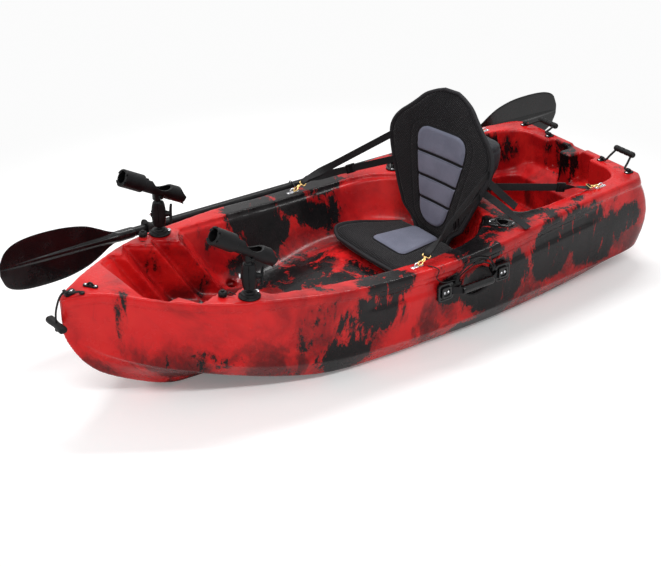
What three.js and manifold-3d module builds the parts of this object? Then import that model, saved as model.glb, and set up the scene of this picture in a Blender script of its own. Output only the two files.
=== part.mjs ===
// Sit-on-top fishing kayak with its seat, rod holders, carry handles and stowed paddle.
// Millimetres. X runs from the bow (-X) to the stern (+X), -Y is port, +Y is starboard, Z is up.
// The origin is midships on the flat of the keel.
import * as THREE from 'three';
import { mergeVertices } from 'three/addons/utils/BufferGeometryUtils.js';
import Module from 'manifold-3d';

const wasm = await Module();
wasm.setup();

// Fits shared by all pieces
const gap = 0.3; // between a piece and what it sits on or in
const weld = 0.001;
const finest = 0.06; // edges and steps smaller than this are merged away
const over = 12; // how far a cutting body runs past the face it cuts
const seatIn = 2; // how far a screwed-on piece is let into the hull

// Hull
const halfLength = 1000;
const halfBreadth = 364;
const depth = 300;
const keelHalf = 42;
const tunnelRise = 16;
const footStrip = 26;
const bilgeRound = 12;
const chineRound = 9;
const lipOut = 6;
const lipHeight = 26;
const edgeRound = 7;
const sideBulge = 5;
const fluteDepth = 7;

// Hull lines: station, gunwale half breadth and height, chine half breadth and height,
// bottom corner half breadth and height, keel height. Lengthwise shares of halfLength,
// half breadths as shares of halfBreadth, heights as shares of depth.
const lineShares = [
  [-1.003, 0.022, 1.2, 0.016, 1.06, 0.01, 0.907, 0.833],
  [-0.995, 0.044, 1.215, 0.03, 1.02, 0.019, 0.85, 0.76],
  [-0.98, 0.069, 1.233, 0.047, 0.985, 0.029, 0.787, 0.65],
  [-0.95, 0.115, 1.253, 0.082, 0.933, 0.054, 0.7, 0.493],
  [-0.9, 0.203, 1.263, 0.165, 0.883, 0.128, 0.567, 0.327],
  [-0.8, 0.418, 1.207, 0.368, 0.783, 0.335, 0.433, 0.15],
  [-0.7, 0.599, 1.163, 0.543, 0.573, 0.488, 0.333, 0.027],
  [-0.6, 0.728, 1.123, 0.668, 0.45, 0.558, 0.22, 0],
  [-0.45, 0.841, 1.073, 0.786, 0.347, 0.681, 0.1, 0],
  [-0.3, 0.934, 1.03, 0.868, 0.287, 0.766, 0.02, 0],
  [-0.1, 0.97, 0.987, 0.918, 0.263, 0.805, 0, 0],
  [0.1, 0.994, 0.983, 0.934, 0.257, 0.821, 0, 0],
  [0.3, 0.994, 1.02, 0.937, 0.273, 0.824, 0, 0],
  [0.5, 0.953, 1.063, 0.901, 0.267, 0.788, 0, 0],
  [0.7, 0.901, 1.09, 0.849, 0.247, 0.742, 0.02, 0],
  [0.85, 0.857, 1.087, 0.816, 0.24, 0.692, 0.045, 0.007],
  [0.92, 0.824, 1.077, 0.783, 0.25, 0.659, 0.065, 0.02],
  [0.945, 0.747, 1.077, 0.72, 0.26, 0.61, 0.073, 0.027],
];
const hullStationShares = [
  -1.003, -0.995, -0.98, -0.95, -0.9, -0.85, -0.8, -0.75, -0.7, -0.65, -0.6, -0.52, -0.44, -0.36,
  -0.29, -0.23, -0.17, -0.04, 0.12, 0.3, 0.45, 0.56, 0.65, 0.7, 0.76, 0.82, 0.88, 0.92, 0.945,
];
// How far the transom stands aft of its rim at a height: height share of depth, shift share
// of halfLength. It fades out forward between the two transomFade stations.
const transomShares = [
  [0, -0.075], [0.067, -0.032], [0.18, 0.014], [0.3, 0.033], [0.417, 0.045], [0.567, 0.051],
  [0.673, 0.048], [0.847, 0.032], [0.983, 0.01], [1.077, 0], [1.3, 0],
];
const transomFade = [0.7, 0.945];
const fluteFade = [-0.23, -0.17, 0.65, 0.76];

// Cockpit and footwell: station at the rim, half width of the mouth, floor height, how far the
// wall leans in per unit of depth, how far a point moves aft per unit of depth. The first
// nine rows are the saw-tooth foot braces. Same shares as the hull lines.
const cockpitShares = [
  [-0.815, 0.335, 0.5, 0.15, 0.63],
  [-0.762, 0.473, 0.47, 0.15, 0.63],
  [-0.728, 0.426, 0.45, 0.15, 0.63],
  [-0.691, 0.602, 0.44, 0.15, 0.63],
  [-0.612, 0.489, 0.42, 0.15, 0.63],
  [-0.594, 0.585, 0.415, 0.15, 0.63],
  [-0.525, 0.478, 0.4, 0.15, 0.63],
  [-0.503, 0.6, 0.4, 0.18, 0.62],
  [-0.48, 0.69, 0.4, 0.22, 0.58],
  [-0.43, 0.712, 0.4, 0.25, 0.5],
  [-0.34, 0.745, 0.4, 0.3, 0.34],
  [-0.25, 0.77, 0.41, 0.36, 0.18],
  [-0.15, 0.79, 0.45, 0.42, 0.08],
  [-0.05, 0.802, 0.49, 0.45, 0.02],
  [0.05, 0.812, 0.5, 0.45, 0],
  [0.15, 0.805, 0.5, 0.45, -0.02],
  [0.22, 0.775, 0.5, 0.42, -0.05],
  [0.275, 0.71, 0.5, 0.36, -0.08],
  [0.315, 0.62, 0.5, 0.28, -0.1],
  [0.345, 0.52, 0.5, 0.22, -0.11],
  [0.36, 0.42, 0.5, 0.2, -0.11],
];
const cockpitFillet = 42;
const crownShares = [[-0.815, 0], [-0.6, 0], [-0.35, 0.03], [-0.12, 0.055], [0.02, 0], [0.4, 0]];
const rimBand = 16; // upright band at the top of the cockpit wall
const rimStep = 5;

// Tank well behind the seat: station, half width of the mouth, ledge height
const tankShares = [
  [0.432, 0.6, 0.6], [0.45, 0.68, 0.6], [0.5, 0.728, 0.6], [0.6, 0.742, 0.6], [0.7, 0.735, 0.6],
  [0.78, 0.715, 0.6], [0.84, 0.67, 0.6], [0.872, 0.59, 0.69], [0.888, 0.49, 0.735],
];
const tankLean = 0.16;
const tankFillet = 16;
const deepFrom = 456;
const deepTo = 838;
const deepHalf = 208;
const deepFloor = 78;
const deepRound = 40;
const transomRecess = { from: 886, to: 918, half: 98, floor: 222, postHalf: 26, postFrom: 868 };
const transomDip = { half: 34, down: 7 };

// Scupper holes: station, half spread, floor height share of depth
const scupperRadius = 14;
const scupperDish = 21;
const scuppers = [
  { x: -340, y: 186, floor: 0.4 },
  { x: 170, y: 120, floor: 0.5 },
  { x: 620, y: 120, floor: 0.26 },
];

// Side carry handles and paddle keepers
const handleX = 173;
const handleZ = 203;
const plateSpread = 220;
const plateSize = 58;
const plateThick = 9;
const recessHalf = [62, 34, 50];
const gripLength = 118;
const gripRadius = 13;
const gripStrap = 2.4;
const gripWeb = 22.5;
const gripPlay = 6.3; // height of the strap over the hull, room for its edges when it is lifted
const plateClip = 36;

// Rod holders
const rodX = -549;
const rodY = 243;
const rodPad = 333; // height of the flat the base is screwed to
const baseRadius = 31.5;
const ballRadius = 12.7;
const lowBall = 32;
const highBall = 98;
const neckRadius = 7;
const armHalf = [21.5, 15.5];
const armTurn = -35;
const boltRadius = 3.2;
const tubeLength = 228;
const tubeOuter = 21.5;
const tubeBore = 17;
const tubeRise = 50; // tube axis above the upper ball
const tubePitch = { port: 33, starboard: 29 };
const collarOuter = 26.5;
const collarLength = 74;

// Seat
const seatFloor = 150;
const seatFront = 46;
const seatBack = 298;
const cushionHalf = 203;
const cushionThick = 40;
const cushionCup = 24; // how far the cushion's sides curl up
const padRaise = 5;
const stitchDrop = 5;
const backFoot = { x: 299, z: 180 };
const backHeight = 472;
const backLean = 6.6;
const backHalf = 219;
const backThick = 34;
const backWing = 24; // how far the side wings stand forward
const backTwist = 10; // turn of the top edge, drawn round by the straps
const sewnEdge = 0.35; // thickness left at a sewn edge, as a share

// Cushion: share of the length from the front edge, half width share, grey pad half width share
const cushionShares = [
  [0, 0.74, 0.4], [0.04, 0.9, 0.4], [0.1, 0.985, 0.4], [0.19, 1, 0.4], [0.28, 0.99, 0.4],
  [0.3, 0.985, 0.4], [0.42, 0.955, 0.385], [0.56, 0.9, 0.362], [0.7, 0.83, 0.34],
  [0.84, 0.75, 0.318], [0.96, 0.68, 0.3], [0.98, 0.665, 0.298], [1, 0.6, 0.295],
];
const cushionPad = [0.29, 0.97];
// Backrest: share of the height, half width share, grey pad half width share
const backShares = [
  [-0.062, 0.36, 0.2], [-0.04, 0.37, 0.22], [0, 0.38, 0.24], [0.03, 0.41, 0.24], [0.066, 0.47, 0.245], [0.076, 0.49, 0.25], [0.13, 0.635, 0.26],
  [0.18, 0.69, 0.27], [0.224, 0.735, 0.28], [0.238, 0.75, 0.283], [0.252, 0.76, 0.286],
  [0.31, 0.81, 0.298], [0.376, 0.87, 0.315], [0.39, 0.88, 0.318], [0.404, 0.89, 0.321],
  [0.47, 0.94, 0.336], [0.539, 0.985, 0.35], [0.553, 0.99, 0.353], [0.567, 1, 0.355],
  [0.62, 1, 0.35], [0.67, 0.98, 0.32], [0.73, 0.91, 0.19], [0.74, 0.895, 0.16],
  [0.78, 0.81, 0.14], [0.83, 0.68, 0.12], [0.88, 0.56, 0.1], [0.94, 0.42, 0.085],
  [0.98, 0.25, 0.06], [1, 0.12, 0.03],
];
const backPad = [0.07, 0.735];
const backChannels = [0.238, 0.39, 0.553];
const pouch = { width: 272, from: 0.31, to: 0.68, out: 132, sewnIn: 3 };
// Pouch: height share of its span, half width share, depth share
const pouchShares = [
  [0, 0.92, 0.5], [0.06, 0.96, 0.66], [0.2, 0.99, 0.82], [0.5, 1, 1], [0.8, 0.99, 1], [0.94, 0.96, 0.86],
  [1, 0.92, 0.66],
];
const pouchSection = [
  [-1, 0], [-1, 0.55], [-0.93, 0.88], [-0.72, 1], [0, 1.03], [0.72, 1], [0.93, 0.88], [1, 0.55], [1, 0],
];

// Deck hardware
const eyeWire = 1.9;
const eyeArch = 10;
const eyeLength = 44;
const eyeWidth = 12;
const webWidth = 25;
const webThick = 1.8;
const frontEye = { x: -15, y: 318 };
const rearEye = { x: 759, y: 281 };

// Paddle
const shaftRadius = 14.5;
const shaftY = 377.6;
const shaftSag = 0.5; // degrees the stern end hangs below the bow end
const shaftZ = 284; // at the origin station
const paddleFrom = -1010;
const paddleTo = 1190;
const bladeLength = 445;
const bladeWidth = 172;
const bladeThick = 3.6;
const bladeSocket = 60;
const neckOuter = 17.5;
const spigotRadius = 11.5;
const spigotLength = 62;
const buttonRadius = 3.5;
const buttonOut = 2.4;
const buttonTravel = 3;
const featherSwing = 32; // degrees each way
const dripRing = { radius: 29, lip: 3, width: 17, at: 515 };
// Blade: length share from the neck, upper and lower half width shares of bladeWidth, rib
// half thickness and half width as shares of neckOuter
const bladeShares = [
  [0, 0.102, 0.102, 1, 1], [0.13, 0.102, 0.102, 1, 1], [0.19, 0.16, 0.15, 0.8, 0.8],
  [0.27, 0.29, 0.26, 0.68, 0.7], [0.36, 0.405, 0.37, 0.58, 0.66], [0.5, 0.495, 0.45, 0.48, 0.6],
  [0.65, 0.52, 0.48, 0.38, 0.54], [0.8, 0.505, 0.465, 0.28, 0.46], [0.9, 0.45, 0.4, 0.2, 0.4],
  [0.965, 0.34, 0.27, 0.14, 0.34], [1, 0.13, 0.08, 0.11, 0.3],
];

// Bow
const nose = { x: -973, length: 32, width: 25, thick: 5, corner: 8, horn: 9 };
const toggle = { x: -1021, z: 290, length: 88, wide: 25, high: 20, waist: 0.82 };
const ropeRadius = 3;
const bowEye = { x: -914.5, y: -10.5, turn: -58, length: 46, width: 15 };

// Stern
const sternHandle = { x: 919, inner: 125, outer: 250, reach: 52, wire: 3.6, grip: 10, gripLength: 84, pin: 8 };
const sternLift = { port: 42, starboard: 9 }; // how far each loop stands up, degrees
const foot = { length: 30, width: 20, thick: 4, lug: 6.4, lugHigh: 8.4 };
const drain = { y: -60, z: 160, flange: 17, thick: 5, stem: 9, depth: 16, grip: 22 };

// Straps
const backJoin = { upper: 0.593, lower: 0.417, rear: 0.44, rearSide: 150 };
const strapIn = 9; // how far a strap reaches under the backrest's edge
const buckle = { length: 30, width: 31, thick: 7 };

const hullRed = new THREE.MeshStandardMaterial({ color: 0xb5150f, roughness: 0.42, metalness: 0 });
const blackPlastic = new THREE.MeshStandardMaterial({ color: 0x17181a, roughness: 0.5, metalness: 0 });
const glossBlack = new THREE.MeshStandardMaterial({ color: 0x101113, roughness: 0.25, metalness: 0 });
const blackRubber = new THREE.MeshStandardMaterial({ color: 0x141414, roughness: 0.75, metalness: 0 });
const cordBlack = new THREE.MeshStandardMaterial({ color: 0x121212, roughness: 0.85, metalness: 0 });
const webBlack = new THREE.MeshStandardMaterial({ color: 0x1b1c1e, roughness: 0.9, metalness: 0 });
const seatBlack = new THREE.MeshStandardMaterial({ color: 0x18181b, roughness: 0.95, metalness: 0 });
const seatGrey = new THREE.MeshStandardMaterial({ color: 0x5d626e, roughness: 0.8, metalness: 0 });
const steel = new THREE.MeshStandardMaterial({ color: 0xc4c6c8, roughness: 0.22, metalness: 1 });
const brass = new THREE.MeshStandardMaterial({ color: 0xc9a24c, roughness: 0.28, metalness: 1 });

const kayak = new THREE.Group();
kayak.name = 'fishing_kayak';

const rad = THREE.MathUtils.degToRad;
const vec = (x, y, z) => new THREE.Vector3(x, y, z);
const smooth = (x, from, to) => THREE.MathUtils.smoothstep(x, from, to);

// A closed geometry as a solid, turned the right way out
function solid(geometry) {
  const bare = geometry.clone();
  bare.deleteAttribute('normal');
  bare.deleteAttribute('uv');
  const merged = mergeVertices(bare, weld);
  const triVerts = new Uint32Array(merged.index.array);
  const build = () => new wasm.Manifold(new wasm.Mesh({
    numProp: 3, vertProperties: merged.attributes.position.array, triVerts,
  }));
  const made = build();
  if (made.volume() >= 0) return made;
  for (let i = 0; i < triVerts.length; i += 3) {
    [triVerts[i + 1], triVerts[i + 2]] = [triVerts[i + 2], triVerts[i + 1]];
  }
  return build();
}

function piece(name, body, material, parent = kayak) {
  const made = body.simplify(finest).getMesh();
  const geometry = new THREE.BufferGeometry();
  geometry.setAttribute('position', new THREE.BufferAttribute(new Float32Array(made.vertProperties), 3));
  geometry.setIndex(new THREE.BufferAttribute(new Uint32Array(made.triVerts), 1));
  geometry.computeVertexNormals();
  const mesh = new THREE.Mesh(geometry, material);
  mesh.name = name;
  parent.add(mesh);
  return mesh;
}

// A geometry turned by degrees about X, then Y, then Z and moved
function put(geometry, x, y, z, turnX = 0, turnY = 0, turnZ = 0) {
  const turn = new THREE.Euler(rad(turnX), rad(turnY), rad(turnZ), 'ZYX');
  const matrix = new THREE.Matrix4().makeRotationFromEuler(turn).setPosition(x, y, z);
  return geometry.clone().applyMatrix4(matrix);
}

const join = (...bodies) => bodies.reduce((whole, body) => whole.add(body));
// The largest body of a solid, without slivers and closed pockets
const largest = (body) => body.decompose().reduce((most, one) => (one.volume() > most.volume() ? one : most));
const box = (x, y, z) => new THREE.BoxGeometry(x, y, z);
// Round bar along Z
const bar = (radius, length, sides = 16, top = radius) =>
  new THREE.CylinderGeometry(top, radius, length, sides).rotateX(Math.PI / 2);

// Rounded slab lying in XY, its bottom on z 0
function slab(length, width, thick, corner, steps = 3) {
  const shape = new THREE.Shape();
  const [a, b] = [length / 2, width / 2];
  const r = Math.min(corner, a * 0.999, b * 0.999);
  shape.moveTo(a, r - b);
  shape.lineTo(a, b - r);
  shape.absarc(a - r, b - r, r, 0, Math.PI / 2);
  shape.lineTo(r - a, b);
  shape.absarc(r - a, b - r, r, Math.PI / 2, Math.PI);
  shape.lineTo(-a, r - b);
  shape.absarc(r - a, r - b, r, Math.PI, Math.PI * 1.5);
  shape.lineTo(a - r, -b);
  shape.absarc(a - r, r - b, r, Math.PI * 1.5, Math.PI * 2);
  return new THREE.ExtrudeGeometry(shape, { depth: thick, bevelEnabled: false, curveSegments: steps });
}

// Turned body about Z from [radius, height] pairs that start and end on the axis
const turned = (profile, sides = 32) =>
  new THREE.LatheGeometry(profile.map(([r, h]) => new THREE.Vector2(r, h)), sides).rotateX(Math.PI / 2);

// Round rod that follows points
function rod(points, radius, sides = 8, steps = 24, closed = false) {
  const curve = new THREE.CatmullRomCurve3(points, closed, 'centripetal');
  const shape = new THREE.Shape();
  shape.absarc(0, 0, radius, 0, Math.PI * 2);
  return new THREE.ExtrudeGeometry(shape, {
    steps, bevelEnabled: false, extrudePath: curve, curveSegments: sides / 2,
  });
}

// Skin over rings of points. Each ring is closed; the ends are filled across from side to
// side when the rings are mirror-symmetric, or from their middle.
function loft(rings, mirrored = true, twisted = false) {
  const count = rings[0].length;
  const points = rings.flat();
  const index = [];
  for (let i = 0; i + 1 < rings.length; i += 1) {
    for (let j = 0; j < count; j += 1) {
      const [a, b] = [i * count + j, i * count + ((j + 1) % count)];
      const [c, d] = [a + count, b + count];
      // In a twisted band both faces are split along the same diagonal, so they can't cross
      if (twisted && j >= count / 2) index.push(a, b, c, b, d, c);
      else index.push(a, b, d, a, d, c);
    }
  }
  for (const [start, back] of [[0, true], [(rings.length - 1) * count, false]]) {
    const face = (a, b, c) => (back ? index.push(a, c, b) : index.push(a, b, c));
    if (mirrored) {
      for (let j = 0; j < (count - 1) / 2; j += 1) {
        const [right, left] = [start + j, start + ((count - j) % count)];
        const [nextRight, nextLeft] = [start + j + 1, start + count - j - 1];
        if (right !== left) face(right, nextRight, left);
        if (nextRight !== nextLeft) face(nextRight, nextLeft, left);
      }
    } else {
      const middle = points.length;
      const sum = vec(0, 0, 0);
      for (let j = 0; j < count; j += 1) sum.add(points[start + j]);
      points.push(sum.divideScalar(count));
      for (let j = 0; j < count; j += 1) face(start + j, start + ((j + 1) % count), middle);
    }
  }
  const geometry = new THREE.BufferGeometry().setFromPoints(points);
  geometry.setIndex(index);
  return geometry;
}

// Flat band that follows points, its width along the given side directions
function band(points, sides, width, thick, steps) {
  const curve = new THREE.CatmullRomCurve3(points, false, 'centripetal');
  const across = new THREE.CatmullRomCurve3(sides, false, 'centripetal');
  const rings = [];
  for (let i = 0; i <= steps; i += 1) {
    const at = curve.getPoint(i / steps);
    const along = curve.getTangent(i / steps);
    const side = across.getPoint(i / steps);
    side.addScaledVector(along, -side.dot(along)).normalize();
    const normal = vec(0, 0, 0).crossVectors(along, side);
    rings.push([[1, 1], [-1, 1], [-1, -1], [1, -1]].map(([a, b]) => at.clone()
      .addScaledVector(side, (a * width) / 2).addScaledVector(normal, (b * thick) / 2)));
  }
  return loft(rings, false, true);
}

// Row of a share table at a station: cubic through the rows, or straight between them
function rowAt(rows, x, straight = false) {
  const last = rows.length - 1;
  let i = 0;
  while (i < last - 1 && x > rows[i + 1][0]) i += 1;
  const [p, q] = [rows[i], rows[i + 1]];
  const span = q[0] - p[0];
  const t = THREE.MathUtils.clamp((x - p[0]) / span, 0, 1);
  const before = rows[Math.max(i - 1, 0)];
  const after = rows[Math.min(i + 2, last)];
  return p.slice(1).map((value, k) => {
    const column = k + 1;
    if (straight) return value + (q[column] - value) * t;
    const slopeIn = (q[column] - before[column]) / (q[0] - before[0]);
    const slopeOut = (after[column] - value) / (after[0] - p[0]);
    const [t2, t3] = [t * t, t * t * t];
    return (2 * t3 - 3 * t2 + 1) * value + (t3 - 2 * t2 + t) * span * slopeIn
      + (3 * t2 - 2 * t3) * q[column] + (t3 - t2) * span * slopeOut;
  });
}

// Half section [y, z] pairs from bottom middle to top middle, made into a whole ring
function ring(half, place) {
  const other = half.slice(1, -1).reverse().map(([y, z]) => [-y, z]);
  return [...half, ...other].map(([y, z]) => place(y, z));
}

function hullLines(share) {
  const [b, top, cb, cz, lb, lz, kz] = rowAt(lineShares, share);
  return {
    breadth: b * halfBreadth, sheer: top * depth, chineB: cb * halfBreadth, chineZ: cz * depth,
    cornerB: lb * halfBreadth, cornerZ: lz * depth, keel: kz * depth,
  };
}

function hullHalf(share) {
  const h = hullLines(share);
  const small = Math.min(1, h.cornerB / (halfBreadth / 2));
  const edge = edgeRound * Math.min(1, h.breadth / (halfBreadth / 8));
  const lip = lipOut * Math.min(1, h.breadth / (halfBreadth / 6));
  const keel = keelHalf * small;
  const inner = keel + (h.cornerB - keel) * 0.24;
  const outer = keel + (h.cornerB - keel) * 0.66;
  const between = (y) => h.keel + ((h.cornerZ - h.keel) * (y - keel)) / (h.cornerB - keel);
  const topY = h.breadth - lip;
  const topZ = h.sheer - lipHeight - lip / 2;
  const flute = fluteDepth * smooth(share, fluteFade[0], fluteFade[1])
    * (1 - smooth(share, fluteFade[2], fluteFade[3]));
  const side = (t, inset = 0) => [
    h.chineB + (topY - h.chineB) * t + sideBulge * small * Math.sin(Math.PI * t) - inset,
    h.chineZ + (topZ - h.chineZ) * t,
  ];
  return [
    [0, h.keel],
    [keel, h.keel],
    [inner, between(inner) + tunnelRise * small],
    [outer, between(outer) + tunnelRise * small],
    [h.cornerB - footStrip * small, h.cornerZ],
    [h.cornerB, h.cornerZ + bilgeRound * small],
    [h.chineB - 1.5 * small, h.chineZ - chineRound * small],
    side(0.05),
    side(0.35),
    side(0.68),
    side(0.73, flute),
    side(0.88, flute),
    side(0.93),
    [topY, topZ],
    [h.breadth, h.sheer - lipHeight],
    [h.breadth, h.sheer - edge],
    [h.breadth - edge * 0.3, h.sheer - edge * 0.3],
    [h.breadth - edge, h.sheer],
    [0, h.sheer],
  ];
}

function hullBody() {
  const rings = hullStationShares.map((share) => {
    const fade = smooth(share, transomFade[0], transomFade[1]);
    return ring(hullHalf(share), (y, z) => {
      const [shift] = rowAt(transomShares, z / depth);
      return vec((share + shift * fade) * halfLength, y, z);
    });
  });
  return solid(loft(rings));
}

// The cockpit's wall leans in and its stations slide aft with depth
function cockpitBody() {
  const rings = cockpitShares.map(([share, mouth, floorShare, lean, slide]) => {
    const { sheer } = hullLines(share);
    const [crown] = rowAt(crownShares, share, true);
    const half = mouth * halfBreadth;
    const floor = floorShare * depth;
    const foot = half - lean * (sheer - floor) - rimStep;
    const r = Math.min(cockpitFillet, foot * 0.45);
    const profile = [
      [0, floor + crown * depth],
      [foot * 0.4, floor + crown * depth * 0.6],
      [foot - r, floor],
      [foot - r * 0.3, floor + r * 0.28],
      [foot + lean * r, floor + r],
      [half - lean * rimBand - rimStep, sheer - rimBand],
      [half, sheer - rimBand],
      [half, sheer],
      [half, sheer + over],
      [0, sheer + over],
    ];
    return ring(profile, (y, z) => vec(share * halfLength + slide * Math.max(0, sheer - z), y, z));
  });
  return solid(loft(rings));
}

function tankBody() {
  const rings = tankShares.map(([share, mouth, ledgeShare]) => {
    const { sheer } = hullLines(share);
    const half = mouth * halfBreadth;
    const ledge = ledgeShare * depth;
    const foot = half - tankLean * (sheer - ledge);
    const profile = [
      [0, ledge],
      [foot - tankFillet, ledge],
      [foot - tankFillet * 0.3, ledge + tankFillet * 0.3],
      [foot + tankLean * tankFillet, ledge + tankFillet],
      [half, sheer],
      [half, sheer + over],
      [0, sheer + over],
    ];
    return ring(profile, (y, z) => vec(share * halfLength, y, z));
  });
  const deep = slab(deepTo - deepFrom, deepHalf * 2, depth - deepFloor, deepRound, 2);
  return join(solid(loft(rings)), solid(put(deep, (deepFrom + deepTo) / 2, 0, deepFloor)));
}

function buildHull() {
  let hull = hullBody();
  const rodPads = [-rodY, rodY].map((y) =>
    solid(put(bar(baseRadius + 4, rodPad / 4, 16), rodX, y, rodPad - rodPad / 8)));
  hull = join(hull, ...rodPads);
  hull = hull.subtract(cockpitBody()).subtract(tankBody());
  const t = transomRecess;
  const top = hullLines(transomFade[1]).sheer;
  // Recess in the transom's inner wall, parted by a moulded post, and the dip in its rim
  const recess = solid(put(box(t.to - t.from, t.half * 2, top - t.floor), (t.from + t.to) / 2, 0,
    (top + t.floor) / 2 + over / 4)).subtract(solid(put(box(t.to, t.postHalf * 2, top * 2), t.to / 2, 0, 0)));
  hull = hull.subtract(recess);
  const post = slab(t.from - t.postFrom + t.postHalf, t.postHalf * 2, top - deepFloor * 2, t.postHalf / 2);
  hull = hull.add(solid(put(post, (t.from + t.postFrom + t.postHalf) / 2, 0, deepFloor * 2 - transomDip.down)));
  hull = hull.subtract(solid(put(box(over * 20, transomDip.half * 2, over * 4), t.from + over * 6, 0,
    top - transomDip.down + over * 2)));
  for (const { x, y, floor } of scuppers) {
    for (const side of [-y, y]) {
      const z = floor * depth;
      hull = hull.subtract(solid(put(bar(scupperRadius, z * 3, 10), x, side, z)));
      hull = hull.subtract(solid(put(bar(scupperRadius, over, 10, scupperDish), x, side, z - over / 4)));
    }
  }
  return hull;
}

const hull = { body: buildHull() };
const cutHull = (body) => { hull.body = hull.body.subtract(body); };
const deckAt = (x) => hullLines(x / halfLength).sheer;
const sideAt = (x, z) => {
  const half = hullHalf(x / halfLength);
  const i = half.findIndex(([, h], k) => k > 6 && h <= z && half[k + 1][1] >= z);
  const [[y0, z0], [y1, z1]] = [half[i], half[i + 1]];
  return y0 + ((y1 - y0) * (z - z0)) / (z1 - z0);
};

// Each side's fittings hang in a group; the port group mirrors Y
const sides = { port: new THREE.Group(), starboard: new THREE.Group() };
sides.port.scale.y = -1;
for (const [name, group] of Object.entries(sides)) {
  group.name = `${name}_fittings`;
  kayak.add(group);
}
const eachSide = (make) => Object.entries(sides).forEach(([name, group]) => make(name, group));
const bothSides = (body) => { cutHull(body); cutHull(body.mirror([0, 1, 0])); };

// Side carry handles: two screwed plates, a webbing grip across a scooped hand recess
{
  const plateX = [handleX - plateSpread / 2, handleX + plateSpread / 2];
  const bowl = new THREE.SphereGeometry(1, 14, 7).scale(...recessHalf);
  const wallY = sideAt(handleX, handleZ);
  bothSides(solid(put(bowl, handleX + 14, wallY + recessHalf[1] * 0.12, handleZ)));
  const plates = plateX.map((x) => {
    const y = sideAt(x, handleZ) - seatIn;
    const base = slab(plateSize, plateSize, plateThick, plateSize / 5, 2);
    bothSides(solid(put(slab(plateSize + gap * 2, plateSize + gap * 2, plateThick * 2, plateSize / 5, 2),
      x, y, handleZ, -90, 0, 0)));
    const clip = slab(plateClip, plateClip, plateThick + 5, 6, 1);
    let body = join(solid(base), solid(clip));
    const notch = box(plateSize, gripWeb + gripPlay, plateThick * 3);
    for (const screw of [-1, 1]) {
      body = join(body, solid(put(bar(4.4, plateThick + 8, 8), screw * 7, 0, (plateThick + 8) / 2)));
    }
    const inward = x < handleX ? 1 : -1;
    body = body.subtract(solid(put(notch, (inward * (plateClip + plateSize)) / 2, 0, 0)));
    return { x, y: y + gap, body };
  });
  eachSide((name, group) => {
    plates.forEach(({ x, y, body }, i) => {
      const mesh = piece(`handle_plate_${['fore', 'aft'][i]}_${name}`, body, glossBlack, group);
      mesh.rotation.x = -Math.PI / 2;
      mesh.position.set(x, y, handleZ);
    });
    const [foreY, aftY] = plates.map(({ y }) => y + gripPlay);
    const reach = plateSpread / 2 - plateClip / 2 - gap - gripStrap / 2;
    const gripY = wallY + gripRadius + 6;
    const gripZ = handleZ - 3;
    const strap = band(
      [vec(handleX - reach, foreY, handleZ), vec(handleX - gripLength / 2, gripY, gripZ),
        vec(handleX + gripLength / 2, gripY, gripZ), vec(handleX + reach, aftY, handleZ)],
      [vec(0, 0, 1), vec(0, 0, 1), vec(0, 0, 1), vec(0, 0, 1)], gripWeb, gripStrap, 10);
    const grip = turned([[0, -gripLength / 2], [gripRadius * 0.8, -gripLength / 2],
      [gripRadius, 5 - gripLength / 2], [gripRadius, gripLength / 2 - 5],
      [gripRadius * 0.8, gripLength / 2], [0, gripLength / 2]], 14);
    piece(`carry_grip_${name}`, join(solid(strap), solid(put(grip, handleX, gripY, gripZ, 0, 90, 0))),
      glossBlack, group);
  });
}

// Paddle keeper: a doubled shock cord over each carry handle with its leash to the deck eye.
// The starboard one is stretched round the stowed paddle shaft.
eachSide((name, group) => {
  const cord = 2.3;
  const x0 = handleX - plateSpread / 2 + plateSize / 2 + 6;
  const x1 = handleX + plateSpread / 2 - plateSize / 2 - 6;
  const y = sideAt(handleX, handleZ) + 6;
  const lip = hullLines(handleX / halfLength).breadth + cord + gap;
  const hold = name === 'starboard' ? shaftY + shaftRadius + cord + gap - lip : 0;
  const arch = (lift, inset) => [
    vec(x0 + inset, y, handleZ + 26),
    vec(x0 + 8 + inset, lip + hold * 0.5, handleZ + 44 + lift * 0.3),
    vec(x0 + 38 + inset, lip + 4 + hold, handleZ + 66 + lift * 0.8),
    vec((x0 + x1) / 2, lip + 6 + hold, handleZ + 76 + lift),
    vec(x1 - 38 - inset, lip + 4 + hold, handleZ + 66 + lift * 0.8),
    vec(x1 - 8 - inset, lip + hold * 0.5, handleZ + 44 + lift * 0.3),
    vec(x1 - inset, y, handleZ + 26),
  ];
  const knot = (x) => solid(put(box(14, 8, 16), x, y, handleZ + 26));
  const line = 1.6;
  const over2 = name === 'starboard'
    ? [120, 80, 40, 0, -40, -80].map((a, i) => vec(frontEye.x + 34 + line * i,
      shaftY + (shaftRadius + line + gap * 5) * Math.cos(rad(a)),
      shaftZ + (shaftRadius + line + gap * 5) * Math.sin(rad(a))))
    : [vec(frontEye.x + 36, lip - 7, deckAt(0) + 3), vec(frontEye.x + 43, lip + 1, deckAt(0) - 5),
      vec(frontEye.x + 36, lip, deckAt(0) - 28)];
  const leash = rod([
    vec(frontEye.x + 26, frontEye.y + 18, deckAt(0) + 2.6), ...over2, vec(frontEye.x + 54, lip, handleZ + 44),
    vec(x0 - 34, y, handleZ + 34), vec(x0 - 6, y, handleZ + 32), vec(x0 + 2, y, handleZ + 27),
  ], line, 8, 22);
  const loops = join(solid(rod(arch(8, 0), cord, 8, 18)), solid(rod(arch(-6, 7), cord, 8, 18)),
    knot(x0 + 3), knot(x1 - 3), solid(leash));
  piece(`paddle_keeper_${name}`, loops, cordBlack, group);
});

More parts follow.
